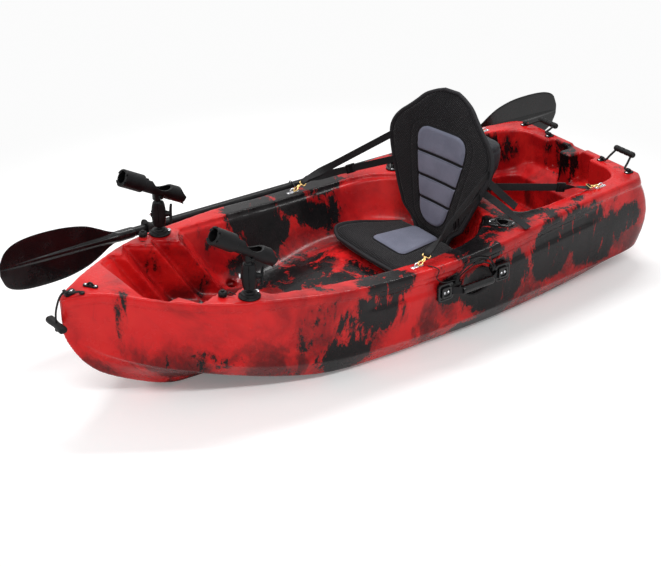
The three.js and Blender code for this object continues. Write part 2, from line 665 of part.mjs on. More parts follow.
// Rod holders: screwed ball base, double socket arm with its wing knob, cradle and lock collar
bothSides(solid(put(bar(baseRadius + 4, over * 2, 16), rodX, rodY, rodPad + over)));
eachSide((name, group) => {
  const holder = new THREE.Group();
  holder.position.set(rodX, rodY, rodPad + gap);
  group.add(holder);
  const ball = (h, r) => put(new THREE.SphereGeometry(r, 10, 7), 0, 0, h);
  let base = join(
    solid(turned([[0, 0], [baseRadius, 0], [baseRadius, 5], [baseRadius - 2.5, 8], [24, 9.5],
      [23, 13], [17, 14.5], [15.5, 18], [9, 19], [neckRadius, 22], [neckRadius, lowBall], [0, lowBall]], 14)),
    solid(ball(lowBall, ballRadius)));
  for (let i = 0; i < 4; i += 1) {
    const a = (i + 0.5) * (Math.PI / 2);
    base = join(base, solid(put(bar(3.6, 4, 6), 26.6 * Math.cos(a), 26.6 * Math.sin(a), 9)));
  }
  base = join(base, solid(put(slab(13, 15, 8.6, 5), baseRadius - 3, -6, 0)));
  piece(`rod_base_${name}`, base, blackPlastic, holder);

  const arm = new THREE.Group();
  arm.rotation.z = rad(name === 'port' ? -armTurn : armTurn);
  holder.add(arm);
  const armLow = lowBall - 5;
  const armHigh = highBall + 5;
  const armRings = [[0, 0.72], [0.1, 0.82], [0.35, 1], [0.65, 1], [0.9, 0.82], [1, 0.72]]
    .map(([t, share]) => {
      const points = [];
      for (let i = 0; i < 16; i += 1) {
        const a = (i / 16) * Math.PI * 2;
        const [c, s] = [Math.cos(a), Math.sin(a)];
        points.push(vec(armHalf[0] * share * Math.sign(c) * Math.abs(c) ** 0.6,
          armHalf[1] * Math.sign(s) * Math.abs(s) ** 0.6, armLow + (armHigh - armLow) * t));
      }
      return points;
    });
  const seam = solid(put(box(1.2, armHalf[1] * 4, armHigh * 3), 0, 0, 0))
    .subtract(solid(put(box(4, armHalf[1] * 2 - 4, armHigh * 3), 0, 0, 0)));
  const armBody = solid(loft(armRings, false))
    .subtract(solid(ball(lowBall, ballRadius + gap * 3))).subtract(solid(ball(highBall, ballRadius + gap * 3)))
    .subtract(solid(put(bar(boltRadius + gap, armHalf[0] * 4, 12), 0, 0, (armLow + armHigh) / 2, 0, 90, 0)))
    .subtract(seam);
  piece(`rod_arm_${name}`, armBody, blackPlastic, arm);

  const knobAt = armHalf[0] + 1;
  const middle = (armLow + armHigh) / 2;
  const knob = join(
    solid(put(bar(boltRadius, armHalf[0] * 2 + 12, 12), 1, 0, 0, 0, 90, 0)),
    solid(put(bar(6.2, 4, 6), -armHalf[0] - 2 - gap, 0, 0, 0, 90, 0)),
    solid(put(bar(9, 12, 14, 7.5), knobAt + 6 + gap, 0, 0, 0, 90, 0)),
    solid(put(slab(62, 11, 9, 5.4, 2), knobAt + 9, 0, 0, 0, 90, 0)),
  );
  const knobMesh = piece(`wing_knob_${name}`, knob, blackPlastic, arm);
  knobMesh.position.z = middle;
  knobMesh.rotation.x = rad(name === 'port' ? 64 : -12);

  const cradle = new THREE.Group();
  cradle.position.z = highBall;
  holder.add(cradle);
  const pitch = tubePitch[name];
  const lay = (geometry, along = 0) => {
    const turn = new THREE.Matrix4().makeRotationY(-rad(90 - pitch));
    return put(geometry, 0, 0, along).applyMatrix4(turn)
      .applyMatrix4(new THREE.Matrix4().makeTranslation(0, 0, tubeRise));
  };
  const rear = -tubeLength * 0.42;
  const front = tubeLength * 0.58;
  const collarFrom = front - collarLength;
  let tube = solid(lay(turned([[0, rear], [tubeOuter + 1.5, rear], [tubeOuter + 1.5, rear + 50],
    [tubeOuter, rear + 62], [tubeOuter, collarFrom - gap], [tubeOuter - 1.4, collarFrom - gap],
    [tubeOuter - 1.4, front], [0, front]], 18)));
  tube = join(tube, solid(put(slab(30, 22, tubeRise - ballRadius - 2, 6), 0, 0, ballRadius + 2)),
    solid(put(bar(neckRadius, ballRadius + 4, 12), 0, 0, ballRadius - 2)), solid(ball(0, ballRadius)));
  tube = tube.subtract(solid(lay(bar(tubeBore, tubeLength * 2, 14))));
  // Window through the neck, saddle for the reel, mouth slot and slanted butt end
  tube = tube.subtract(solid(put(box(9, 60, 12), 2, 0, ballRadius + 13)));
  const saddle = solid(lay(put(bar(46, 80, 16), 47, 0, 0, 90, 0, 0), rear + 92));
  const slot = solid(lay(put(box(40, 21, tubeLength), 20, 0, 0), rear + 92 + tubeLength / 2));
  const butt = solid(lay(put(bar(40, 80, 14), 41, 0, 0, 90, 0, 0), rear - 14));
  tube = tube.subtract(saddle).subtract(slot).subtract(butt);
  const lip = solid(lay(put(box(5, 24, 10), 2 - tubeOuter, 0, 0, 0, 18, 0), rear - 2));
  piece(`rod_cradle_${name}`, join(tube, lip), blackPlastic, cradle);

  let collar = solid(bar(collarOuter, collarLength, 20)).subtract(solid(bar(tubeOuter - 1.4 + gap * 3,
    collarLength * 2, 20))).subtract(solid(put(box(collarOuter * 2, 20, collarLength * 2), collarOuter, 0, 0)));
  for (let i = 0; i < 5; i += 1) {
    const a = rad(50 + i * 52);
    collar = collar.subtract(solid(put(bar(3.4, 8, 8), collarOuter * Math.cos(a), collarOuter * Math.sin(a),
      collarLength / 2)));
  }
  const collarHold = new THREE.Group();
  collarHold.rotation.y = -rad(90 - pitch);
  collarHold.position.z = tubeRise;
  cradle.add(collarHold);
  const collarMesh = piece(`lock_collar_${name}`, collar, blackPlastic, collarHold);
  collarMesh.position.z = collarFrom + collarLength / 2;
  collarMesh.rotation.z = rad(name === 'port' ? -100 : 100);
});

// Plugs that close the mount sockets, lying beside the bases on their moulded tails
eachSide((name, group) => {
  const [x, y] = name === 'port' ? [-613, 206] : [-604, 247];
  const z = Math.max(deckAt(x - baseRadius / 2), deckAt(x)) + gap;
  const plug = turned([[0, 0], [12.5, 0], [12.5, 9], [10.5, 13], [5.5, 13.5], [5.5, 18], [0, 18]], 8);
  const toBase = rodX - baseRadius - x;
  const tail = rod([vec(x + 8, y, z + 5), vec(x + toBase * 0.5, y + 5, z + 3), vec(x + toBase * 0.7, y - 5, z + 2),
    vec(x + toBase - 2, (y + rodY) / 2, z + 2)], 1.5, 6, 12);
  piece(`mount_plug_${name}`, join(solid(put(plug, x, y, z)), solid(tail)), blackRubber, group);
});

// Flush rod holders let into the deck behind the seat, slanting outboard and aft
{
  const [x, y, turn] = [355, 268, 46];
  const top = deckAt(x);
  const tilt = 28;
  const flange = slab(84, 46, 4, 22.9, 5);
  const sleeveDepth = 120;
  const place = (geometry) => put(geometry, x, y, top - 1.2, 0, 0, turn);
  const sleeve = (radius, from, to) => place(put(bar(radius, to - from, 14), 8, 0, 0)
    .applyMatrix4(new THREE.Matrix4().makeTranslation(-8, 0, (from + to) / 2))
    .applyMatrix4(new THREE.Matrix4().makeRotationY(rad(tilt)))
    .applyMatrix4(new THREE.Matrix4().makeTranslation(8, 0, 0)));
  bothSides(solid(sleeve(22.5 + gap, -sleeveDepth - gap, over)));
  bothSides(solid(place(slab(84 + gap * 2, 46 + gap * 2, over * 3, 22.9, 5))));
  let holder = join(solid(place(put(flange, 0, 0, gap))), solid(sleeve(22.5, -sleeveDepth, 1)));
  holder = holder.subtract(solid(sleeve(18.5, -sleeveDepth + 4, over * 3)));
  for (const end of [-1, 1]) {
    holder = join(holder, solid(place(put(bar(3.6, 3, 8), end * 35.5, 0, 4.6))));
  }
  eachSide((name, group) => piece(`flush_rod_holder_${name}`, holder, glossBlack, group));
}

// Deck eyes, snap hooks and their thumb bolts. The hook's ring holds the aft leg of the eye
// in the front pair and the fore leg in the rear pair.
const hookLength = 35.5;
const hookRing = 7.6;
const hookWire = 2.1;
const thumbRadius = 1.5;
const thumbSide = 5.3;
const webLoopBar = 3;
const slotAt = hookLength - gap - webLoopBar * 2;
const slotDrop = 4;
const webRise = 4.4;
const hooks = {
  front: { at: frontEye, toward: vec(0.84, -0.12, 0.5), leg: 1, rise: 0.85 },
  rear: { at: rearEye, toward: vec(-0.93, -0.33, 0.1), leg: -1, rise: 0.72 },
};
for (const hook of Object.values(hooks)) {
  const low = Math.min(deckAt(hook.at.x - eyeLength / 2), deckAt(hook.at.x + eyeLength / 2)) - seatIn / 4;
  bothSides(solid(put(slab(eyeLength + gap * 2, eyeWidth + gap * 2, over, eyeWidth / 3, 1), hook.at.x, hook.at.y, low)));
  hook.z = low + gap;
  const x = hook.toward.normalize();
  const y = vec(0, 1, 0).addScaledVector(x, -x.y).normalize();
  hook.turn = new THREE.Matrix4().makeBasis(x, y, vec(0, 0, 0).crossVectors(x, y));
  hook.centre = vec(hook.at.x + hook.leg * (eyeArch + 2.2), hook.at.y, hook.z + eyeArch * hook.rise);
  hook.turn.setPosition(hook.centre);
  hook.end = hook.centre.clone().addScaledVector(x, hookLength);
}
eachSide((name, group) => {
  for (const [end, hook] of Object.entries(hooks)) {
    const arch = [vec(eyeArch, 0, 0.6)];
    for (let i = 0; i <= 6; i += 1) {
      const a = (i / 6) * Math.PI;
      arch.push(vec(eyeArch * Math.cos(a), 0, 3 + eyeArch * Math.sin(a)));
    }
    arch.push(vec(-eyeArch, 0, 0.6));
    let eye = join(solid(slab(eyeLength, eyeWidth, 2.2, eyeWidth / 3, 1)), solid(rod(arch, eyeWire, 6, 9)));
    for (const screw of [-1, 1]) eye = join(eye, solid(put(bar(3.6, 3.4, 6), screw * 17, 0, 1.9)));
    piece(`deck_eye_${end}_${name}`, eye, steel, group).position.set(hook.at.x, hook.at.y, hook.z);

    const ringPoints = [];
    for (let i = 0; i <= 10; i += 1) {
      const a = rad(58 + (i * 290) / 10);
      ringPoints.push(vec(hookRing * Math.cos(a), hookRing * Math.sin(a), 0));
    }
    const webLoop = solid(put(box(12, webWidth + 7, 3.4), hookLength - gap - 6, 0, 0))
      .subtract(solid(put(box(6, webWidth + 1, 9), hookLength - gap - 6, 0, 0)));
    const body = join(solid(rod(ringPoints, hookWire, 6, 12)),
      solid(put(bar(3.4, 18, 10), 15, 0, 0, 0, 90, 0)), webLoop);
    piece(`snap_hook_${end}_${name}`, body, brass, group).applyMatrix4(hook.turn);
    const thumb = join(solid(put(bar(thumbRadius, 12, 8), 12, thumbSide, 0, 0, 90, 0)),
      solid(put(bar(2.4, 3.2, 8), 12.5, thumbSide + 1.6, 0, 0, 90, 0)));
    piece(`hook_thumb_${end}_${name}`, thumb, brass, group).applyMatrix4(hook.turn);
  }
});

// A sewn pad as rings across its rows: the front face has a raised grey pad with sunk
// stitch lines, and both faces draw in to the sewn edge.
function padRings(rows, half, thick, pad, channels, place) {
  return rows.map(([t, halfShare, padShare]) => {
    const w = half * halfShare;
    const g = half * padShare;
    const ends = Math.max(sewnEdge, 1 - Math.abs(2 * t - 1) ** 14);
    const across = [1, 0.95, 0.86].map((k) => k * w);
    const out = Math.min(g + 9, w * 0.8);
    const half13 = [...across, (out + across[2]) / 2, out, Math.min(g, out * 0.9), g * 0.55];
    const ys = [...half13.map((y) => -y), 0, ...half13.reverse()];
    const fill = (y) => (sewnEdge + (1 - sewnEdge) * (1 - Math.abs(y / w) ** 5)) * ends;
    const onPad = (y) => Math.abs(y) <= g + 0.01 && t > pad[0] && t < pad[1];
    const sunk = channels.some((at) => Math.abs(at - t) < 0.004) ? stitchDrop : 0;
    const front = ys.map((y) => place(y, thick * 0.5 * fill(y) + (onPad(y) ? padRaise - sunk : 0), t, w));
    const rear = ys.filter((y, i) => i % 2 === 0 || i === 0 || i === ys.length - 1);
    const back = rear.map((y) => place(y, -thick * 0.5 * fill(y), t, w)).reverse();
    return [...front, ...back];
  });
}

// Seat cushion, curled up at its sides in the moulded seat pan
const cushion = solid(loft(padRings(cushionShares, cushionHalf, cushionThick, cushionPad, [],
  (y, lift, t) => vec(seatFront + (seatBack - seatFront) * t, y,
    seatFloor + gap + cushionThick / 2 + lift + cushionCup * Math.abs(y / cushionHalf) ** 5)), false));
piece('seat_cushion', cushion, seatGrey);

// Backrest: leans aft, wings forward, twisted a little by the pull of its straps
const backPoint = (y, lift, t, w) => {
  const turn = rad(backTwist * t);
  const out = lift + backWing * Math.abs(y / w) ** 2.4 * Math.min(1, w / (backHalf * 0.8));
  const x = -out * Math.cos(turn) - y * Math.sin(turn);
  const z = backHeight * t;
  return vec(backFoot.x + backThick / 2 + x + z * Math.tan(rad(backLean)), y * Math.cos(turn) - out * Math.sin(turn),
    backFoot.z + z);
};
const backBody = (grow = 0) => solid(loft(padRings(backShares, backHalf + grow, backThick + grow * 2, backPad,
  backChannels, backPoint), false));
const backrest = backBody();
piece('seat_backrest', backrest, seatGrey);
const backClear = backBody(gap * 2);

// Zipped pouch sewn to the back of the backrest
{
  const rings = pouchShares.map(([t, wide, deep]) => pouchSection.map(([y, x]) =>
    backPoint((y * wide * pouch.width) / 2, pouch.sewnIn - backThick / 2 - x * deep * pouch.out,
      pouch.from + (pouch.to - pouch.from) * t, backHalf)));
  piece('seat_pouch', largest(solid(loft(rings, false)).subtract(backClear)), seatBlack);
}

// Webbing straps from the snap hooks to the backrest. Each front one is a sewn V.
const backEdge = (t) => backHalf * rowAt(backShares, t)[0];
const up = vec(0, 0, 1);
for (const [name, s] of [['port', -1], ['starboard', 1]]) {
  const local = (hook, x, z) => {
    const at = vec(x, 0, z).applyMatrix4(hook.turn);
    return vec(at.x, at.y * s, at.z);
  };
  const start = (hook) => [
    local(hook, slotAt, -slotDrop), local(hook, slotAt, 0), local(hook, slotAt + webLoopBar * 1.6, webRise),
    local(hook, slotAt + hookLength / 2, webRise),
  ];
  const flat = (hook) => {
    const y = vec(0, 0, 0).setFromMatrixColumn(hook.turn, 1);
    return vec(y.x, y.y * s, y.z);
  };
  // The upper leg runs from the hook; the lower leg is sewn on inside it at the stitched block
  const frontFlat = flat(hooks.front);
  const sewn = start(hooks.front)[3];
  const leg = (t, inset) => {
    const w = backEdge(t);
    const end = backPoint(s * (w - strapIn), 0, t, w);
    const lead = vec(0, 0, 0).lerpVectors(sewn, end, 0.35);
    const near = vec(0, 0, 0).lerpVectors(sewn, end, 0.85);
    const path = [...(inset ? [local(hooks.front, slotAt + hookLength / 2, webRise - inset)]
      : start(hooks.front)), lead, near, end];
    for (const point of path.slice(-3)) point.y += s * inset;
    const turn = inset ? [frontFlat, up, up, up] : [frontFlat, frontFlat, frontFlat, frontFlat, up, up, up];
    return solid(band(path.map((point) => point.clone()), turn, webWidth, webThick, 9));
  };
  const lower = leg(backJoin.lower, webThick * 1.35);
  const block = solid(box(webWidth * 0.7, webWidth * 1.04, webThick * 3.6)
    .translate(slotAt + hookLength / 2, 0, webRise - webThick * 0.7).applyMatrix4(hooks.front.turn).scale(1, s, 1));
  const at = vec(0, 0, 0).lerpVectors(start(hooks.front)[3],
    backPoint(s * backEdge(backJoin.lower), 0, backJoin.lower, backEdge(backJoin.lower)), 0.5);
  const clip = put(box(buckle.length, buckle.thick, buckle.width), at.x, at.y, at.z, 0, -10, -18 * s);
  piece(`front_strap_${name}`, largest(join(leg(backJoin.upper, 0), lower, block, solid(clip)).subtract(backClear)),
    webBlack);

  const from = start(hooks.rear);
  const side = flat(hooks.rear);
  const end = backPoint(s * backJoin.rearSide, webThick * 2 - backThick / 2, backJoin.rear, backEdge(backJoin.rear));
  const lead = vec(0, 0, 0).lerpVectors(from[3], end, 0.3);
  const near = vec(0, 0, 0).lerpVectors(from[3], end, 0.8);
  let strap = solid(band([...from, lead, near, end], [side, side, side, side, up, up, up], webWidth, webThick, 11));
  const slide = vec(0, 0, 0).lerpVectors(from[3], end, 0.22);
  strap = strap.add(solid(put(box(buckle.length, buckle.thick, buckle.width), slide.x, slide.y, slide.z, 0, 9, 19 * s)));
  piece(`rear_strap_${name}`, largest(strap.subtract(backClear)), webBlack);
}

// Bow: nose fitting, T handle on its rope, and the deck eye behind
{
  const slope = THREE.MathUtils.radToDeg(Math.atan2(deckAt(nose.x + nose.length / 2)
    - deckAt(nose.x - nose.length / 2), nose.length));
  const z = deckAt(nose.x) + gap * 2;
  const tip = nose.x - nose.length / 2;
  const rope = rod([
    vec(toggle.x, 0, toggle.z - toggle.high / 2 - ropeRadius), vec(toggle.x, 0, toggle.z),
    vec(toggle.x, 0, toggle.z + toggle.high), vec(toggle.x + ropeRadius, 0, (toggle.z + z) / 2 + ropeRadius),
    vec(tip - ropeRadius * 5, 0, z - ropeRadius), vec(tip - ropeRadius, 0, z + ropeRadius * 2.6),
    vec(tip + ropeRadius * 2, -ropeRadius, z + ropeRadius * 3.2),
    vec(nose.x - ropeRadius, -nose.width / 2 - ropeRadius, z + ropeRadius * 3),
    vec(nose.x + nose.length / 2, -nose.width, z + ropeRadius * 3.6),
    vec(nose.x + nose.length * 0.7, -nose.width * 1.15, z + ropeRadius * 2.6),
  ], ropeRadius, 8, 16);
  const knot = new THREE.SphereGeometry(ropeRadius * 2, 8, 6);
  const washer = bar(ropeRadius * 2.6, ropeRadius * 2, 14);
  const washerX = nose.x + nose.length * 0.7;
  const rope2 = join(solid(rope), solid(put(knot, toggle.x, 0, toggle.z - toggle.high / 2 - ropeRadius * 2)),
    solid(put(washer, washerX, -nose.width * 1.15, deckAt(washerX) + gap * 3 + ropeRadius)));
  piece('bow_toggle_rope', rope2, cordBlack);

  const ropeHole = solid(rod([
    vec(toggle.x, 0, toggle.z - toggle.high), vec(toggle.x, 0, toggle.z), vec(toggle.x, 0, toggle.z + toggle.high),
  ], ropeRadius + gap, 8, 4));
  const rings = [[-1, 0.8], [-0.9, 1], [-0.5, 0.96], [0, toggle.waist], [0.5, 0.96], [0.9, 1], [1, 0.8]]
    .map(([t, share]) => {
      const points = [];
      for (let i = 0; i < 14; i += 1) {
        const a = (i / 14) * Math.PI * 2;
        points.push(vec(toggle.x + (toggle.wide / 2) * share * Math.cos(a), (toggle.length / 2) * t,
          toggle.z + (toggle.high / 2) * share * Math.sin(a)));
      }
      return points;
    });
  piece('bow_toggle', solid(loft(rings, false)).subtract(ropeHole), blackRubber);

  const bed = (geometry, lift = 0) => put(geometry, 0, 0, lift).applyMatrix4(
    new THREE.Matrix4().makeRotationY(-rad(slope)).setPosition(nose.x, 0, z));
  const clear = solid(rod([
    vec(tip - ropeRadius * 5, 0, z - ropeRadius), vec(tip - ropeRadius, 0, z + ropeRadius * 2.6),
    vec(tip + ropeRadius * 2, -ropeRadius, z + ropeRadius * 3.2),
    vec(nose.x - ropeRadius, -nose.width / 2 - ropeRadius, z + ropeRadius * 3),
    vec(nose.x + nose.length / 2, -nose.width, z + ropeRadius * 3.6),
  ], ropeRadius + gap * 3, 8, 8));
  const horn = put(box(nose.horn, nose.width * 0.8, nose.thick * 3), nose.horn / 2 - nose.length / 2 + gap, 0,
    nose.thick * 1.5);
  const fitting = join(solid(bed(slab(nose.length, nose.width, nose.thick, nose.corner, 2))), solid(bed(horn)))
    .subtract(clear);
  piece('bow_nose_fitting', join(fitting, solid(bed(put(bar(4, nose.thick, 12), nose.length / 5, 0, nose.thick)))),
    blackPlastic);

  const arch = [];
  const bowArch = bowEye.width / 2;
  arch.push(vec(bowArch, 0, 0.6));
  for (let i = 0; i <= 6; i += 1) {
    const a = (i / 6) * Math.PI;
    arch.push(vec(bowArch * Math.cos(a), 0, 3 + bowArch * Math.sin(a)));
  }
  arch.push(vec(-bowArch, 0, 0.6));
  let eye = join(solid(slab(bowEye.length, bowEye.width, 4, bowEye.width / 2.1, 2)), solid(rod(arch, 3, 8, 10)));
  for (const screw of [-1, 1]) eye = join(eye, solid(put(bar(4, 3.4, 8), screw * 16, 0, 4.4)));
  const eyeMesh = piece('bow_deck_eye', eye, blackPlastic);
  eyeMesh.position.set(bowEye.x, bowEye.y, deckAt(bowEye.x) + gap * 2);
  eyeMesh.rotation.z = rad(bowEye.turn);
}

// Stern carry handles: loops with ribbed grips, hinged in two screwed feet each
for (const y of [sternHandle.inner, sternHandle.outer]) {
  const { x } = sternHandle;
  const low = Math.min(deckAt(x - foot.length / 2), deckAt(x + foot.length / 2)) - seatIn / 4;
  bothSides(solid(put(slab(foot.length + gap * 2, foot.width + gap * 2, over, foot.width / 3, 1), x, y, low)));
}
eachSide((name, group) => {
  const { x, inner, outer, reach, wire, grip, gripLength, pin } = sternHandle;
  const low = Math.min(deckAt(x - foot.length / 2), deckAt(x + foot.length / 2)) - seatIn / 4;
  const z = low + gap;
  for (const [place, y, s] of [['inner', inner, 1], ['outer', outer, -1]]) {
    const body = join(solid(slab(foot.length, foot.width, foot.thick, foot.width / 3, 1)),
      solid(put(bar(foot.lug, foot.width * 0.6, 12), 0, s * foot.width * 0.1, foot.lugHigh, 90, 0, 0)),
      solid(put(bar(4, 3, 8), -foot.length / 3, 0, foot.thick + 0.6)));
    const hole = solid(put(bar(wire + gap, foot.width, 10), 0, s * (foot.width * 0.5 - pin / 2 + pin), foot.lugHigh, 90, 0, 0));
    piece(`stern_foot_${place}_${name}`, body.subtract(hole), blackPlastic, group).position.set(x, y, z);
  }
  const hold = new THREE.Group();
  hold.position.set(x, 0, z + foot.lugHigh);
  hold.rotation.y = -rad(sternLift[name]);
  group.add(hold);
  const reachIn = foot.width * 0.5 - pin / 2 - gap;
  const a = inner + reachIn;
  const b = outer - reachIn;
  const mid = (a + b) / 2;
  const loop = rod([vec(0, a, 0), vec(0, a + pin * 1.6, 0), vec(reach * 0.4, a + pin * 2.2, 0),
    vec(reach, mid - gripLength / 3, 0), vec(reach, mid, 0), vec(reach, mid + gripLength / 3, 0),
    vec(reach * 0.4, b - pin * 2.2, 0), vec(0, b - pin * 1.6, 0), vec(0, b, 0)], wire, 8, 16);
  const ribs = [];
  const ribCount = 4;
  for (let i = 0; i < ribCount; i += 1) {
    const from = ((i + 0.12) / ribCount) * gripLength - gripLength / 2;
    const to = ((i + 0.88) / ribCount) * gripLength - gripLength / 2;
    const edge = (to - from) / 6;
    ribs.push([grip * 0.84, from], [grip, from + edge], [grip, to - edge], [grip * 0.84, to]);
  }
  const sleeve = turned([[0, -gripLength / 2], [grip * 0.84, -gripLength / 2], ...ribs,
    [grip * 0.84, gripLength / 2], [0, gripLength / 2]], 8);
  piece(`stern_handle_${name}`, join(solid(loop), solid(put(sleeve, reach, mid, 0, 90, 0, 0))), blackRubber, hold);
});

// Drain plug in the transom
{
  const [shift] = rowAt(transomShares, drain.z / depth);
  const face = (transomFade[1] + shift) * halfLength;
  const lie = (geometry, x) => put(geometry, face + x, drain.y, drain.z, 0, 90, 0);
  cutHull(solid(lie(bar(drain.stem + gap, drain.depth * 2, 16), 0)));
  cutHull(solid(lie(bar(drain.flange + gap, over * 2, 20), over - seatIn * 1.5)));
  const plug = join(solid(lie(bar(drain.flange, drain.thick, 20), drain.thick / 2 - seatIn * 1.5 + gap)),
    solid(lie(bar(drain.stem, drain.depth, 16), gap - drain.depth / 2)),
    solid(lie(slab(drain.flange * 1.5, drain.stem / 1.5, drain.grip / 2, 2, 1), 0)));
  piece('drain_plug', plug, blackRubber);
}

// Stowed paddle
{
  const paddle = new THREE.Group();
  paddle.position.set(0, shaftY, shaftZ);
  paddle.rotation.y = rad(shaftSag);
  kayak.add(paddle);
  const middle = (paddleFrom + paddleTo) / 2;
  const along = (geometry, x) => put(geometry, x, 0, 0, 0, 90, 0);
  const length = (paddleTo - paddleFrom) / 2 - bladeLength + bladeSocket;
  const bow = solid(along(bar(shaftRadius, length, 14), middle - length / 2))
    .add(solid(along(bar(spigotRadius, spigotLength, 12), middle + spigotLength / 2 - gap)));
  const stern = solid(along(bar(shaftRadius, length - gap, 14), middle + length / 2 + gap / 2))
    .subtract(solid(along(bar(spigotRadius + gap * 2, spigotLength + gap * 2, 12), middle + spigotLength / 2)));
  const buttonX = middle + spigotLength / 2;
  const well = solid(put(bar(buttonRadius + gap, shaftRadius * 2, 12), buttonX, 0,
    shaftRadius + buttonOut / 2 - buttonTravel));
  piece('shaft_bow_half', bow.subtract(well), blackPlastic, paddle);
  // The button rides in a slot round the socket, whose ends stop the feather
  const slotHalf = rad(featherSwing) + Math.asin((buttonRadius + gap) / spigotRadius);
  const arc = new THREE.Shape();
  arc.absarc(0, 0, shaftRadius + over, Math.PI / 2 - slotHalf, Math.PI / 2 + slotHalf, false);
  arc.absarc(0, 0, spigotRadius, Math.PI / 2 + slotHalf, Math.PI / 2 - slotHalf, true);
  const slotWide = (buttonRadius + gap) * 2;
  const slot = new THREE.ExtrudeGeometry(arc, { depth: slotWide, bevelEnabled: false, curveSegments: 12 })
    .rotateX(Math.PI / 2).rotateZ(Math.PI / 2).translate(buttonX - slotWide / 2, 0, 0);
  piece('shaft_stern_half', stern.subtract(solid(slot)), blackPlastic, paddle);
  const buttonLength = shaftRadius + buttonOut - buttonTravel;
  piece('shaft_button', solid(put(bar(buttonRadius, buttonLength, 12), buttonX, 0,
    shaftRadius + buttonOut - buttonLength / 2)), steel, paddle);

  const blade = bladeShares.map(([t, upper, lower, ribOut, ribHalf]) => {
    const [top, bottom] = [upper * bladeWidth, lower * bladeWidth];
    const [out, wide] = [ribOut * neckOuter, ribHalf * neckOuter];
    const heights = (half) => {
      const w = Math.min(wide, half * 0.85);
      return [half, half * 0.97, w, w * 0.5];
    };
    const zs = [...heights(top), 0, ...heights(bottom).reverse().map((z) => -z)];
    const at = (z) => {
      const limit = z > 0 ? top : bottom;
      const plate = (bladeThick / 2) * (Math.abs(z) >= limit * 0.99 ? 0.45 : 1);
      return Math.max(plate, out * Math.sqrt(Math.max(0, 1 - (z / wide) ** 2)));
    };
    const front = zs.map((z) => vec(t * bladeLength, at(z), z));
    const back = zs.map((z) => vec(t * bladeLength, -at(z), z)).reverse();
    return [...front, ...back];
  });
  const socket = bar(shaftRadius + gap, bladeSocket * 2 + gap * 2, 14);
  const body = solid(loft(blade, false)).subtract(solid(along(socket, 0)));
  piece('blade_stern', body, blackPlastic, paddle).position.x = paddleTo - bladeLength;
  const bowBlade = piece('blade_bow', body, blackPlastic, paddle);
  bowBlade.rotation.y = Math.PI;
  bowBlade.position.x = paddleFrom + bladeLength;
  const ring = turned([[shaftRadius + gap, -dripRing.width / 2], [shaftRadius + dripRing.lip, -dripRing.width / 2],
    [shaftRadius + dripRing.lip, 0], [dripRing.radius - dripRing.lip, dripRing.lip],
    [dripRing.radius, dripRing.width / 2], [dripRing.radius - dripRing.lip, dripRing.width / 2],
    [shaftRadius + dripRing.lip * 1.6, dripRing.lip * 2], [shaftRadius + gap, dripRing.lip * 2],
    [shaftRadius + gap, -dripRing.width / 2]], 14);
  for (const [name, s] of [['bow', -1], ['stern', 1]]) {
    const mesh = piece(`drip_ring_${name}`, solid(ring), blackRubber, paddle);
    mesh.position.x = middle + s * (middle + dripRing.at);
    mesh.rotation.y = (s * Math.PI) / 2;
  }
}

piece('hull', hull.body, hullRed);

export default kayak;
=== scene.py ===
import math

import bmesh
import bpy
import numpy as np
from mathutils import Euler, Matrix, Vector, noise


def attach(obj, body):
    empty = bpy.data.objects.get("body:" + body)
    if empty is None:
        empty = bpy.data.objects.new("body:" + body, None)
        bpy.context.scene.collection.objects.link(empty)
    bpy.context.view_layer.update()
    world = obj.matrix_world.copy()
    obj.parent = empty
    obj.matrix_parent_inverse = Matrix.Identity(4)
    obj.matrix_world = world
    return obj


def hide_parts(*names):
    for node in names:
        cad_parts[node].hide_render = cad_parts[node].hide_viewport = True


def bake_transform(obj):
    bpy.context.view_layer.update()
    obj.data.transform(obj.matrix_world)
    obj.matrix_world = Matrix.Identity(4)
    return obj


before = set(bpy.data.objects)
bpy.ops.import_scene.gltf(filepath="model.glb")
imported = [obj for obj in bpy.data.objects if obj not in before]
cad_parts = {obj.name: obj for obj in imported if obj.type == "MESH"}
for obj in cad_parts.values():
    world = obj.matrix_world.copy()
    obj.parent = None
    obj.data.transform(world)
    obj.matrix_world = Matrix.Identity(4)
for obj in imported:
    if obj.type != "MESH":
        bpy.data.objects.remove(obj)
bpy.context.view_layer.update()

# Camera: on the port side ahead of the bow, looking down on the deck from a tall stand.
# Its focal length is for a frame of 661 by 567 on a 36 mm wide film.
camera = bpy.data.objects.new("camera", bpy.data.cameras.new("camera"))
bpy.context.scene.collection.objects.link(camera)
camera.location = (-2.600, -3.446, 2.410)
camera.rotation_euler = Euler((math.radians(90 - 28.2), 0, math.radians(-36)))
camera.data.lens = 36 * 1567 / 661
camera.data.clip_end = 60
bpy.context.scene.camera = camera
bpy.context.scene.view_settings.view_transform = "Standard"


def add_node(tree, kind, values=None, **settings):
    """A node with its settings made, its sockets filled, and linked where a value is a socket."""
    made = tree.nodes.new(kind)
    for name, value in settings.items():
        setattr(made, name, value)
    for key, value in (values or {}).items():
        if isinstance(value, bpy.types.NodeSocket):
            tree.links.new(value, made.inputs[key])
        else:
            made.inputs[key].default_value = value
    return made


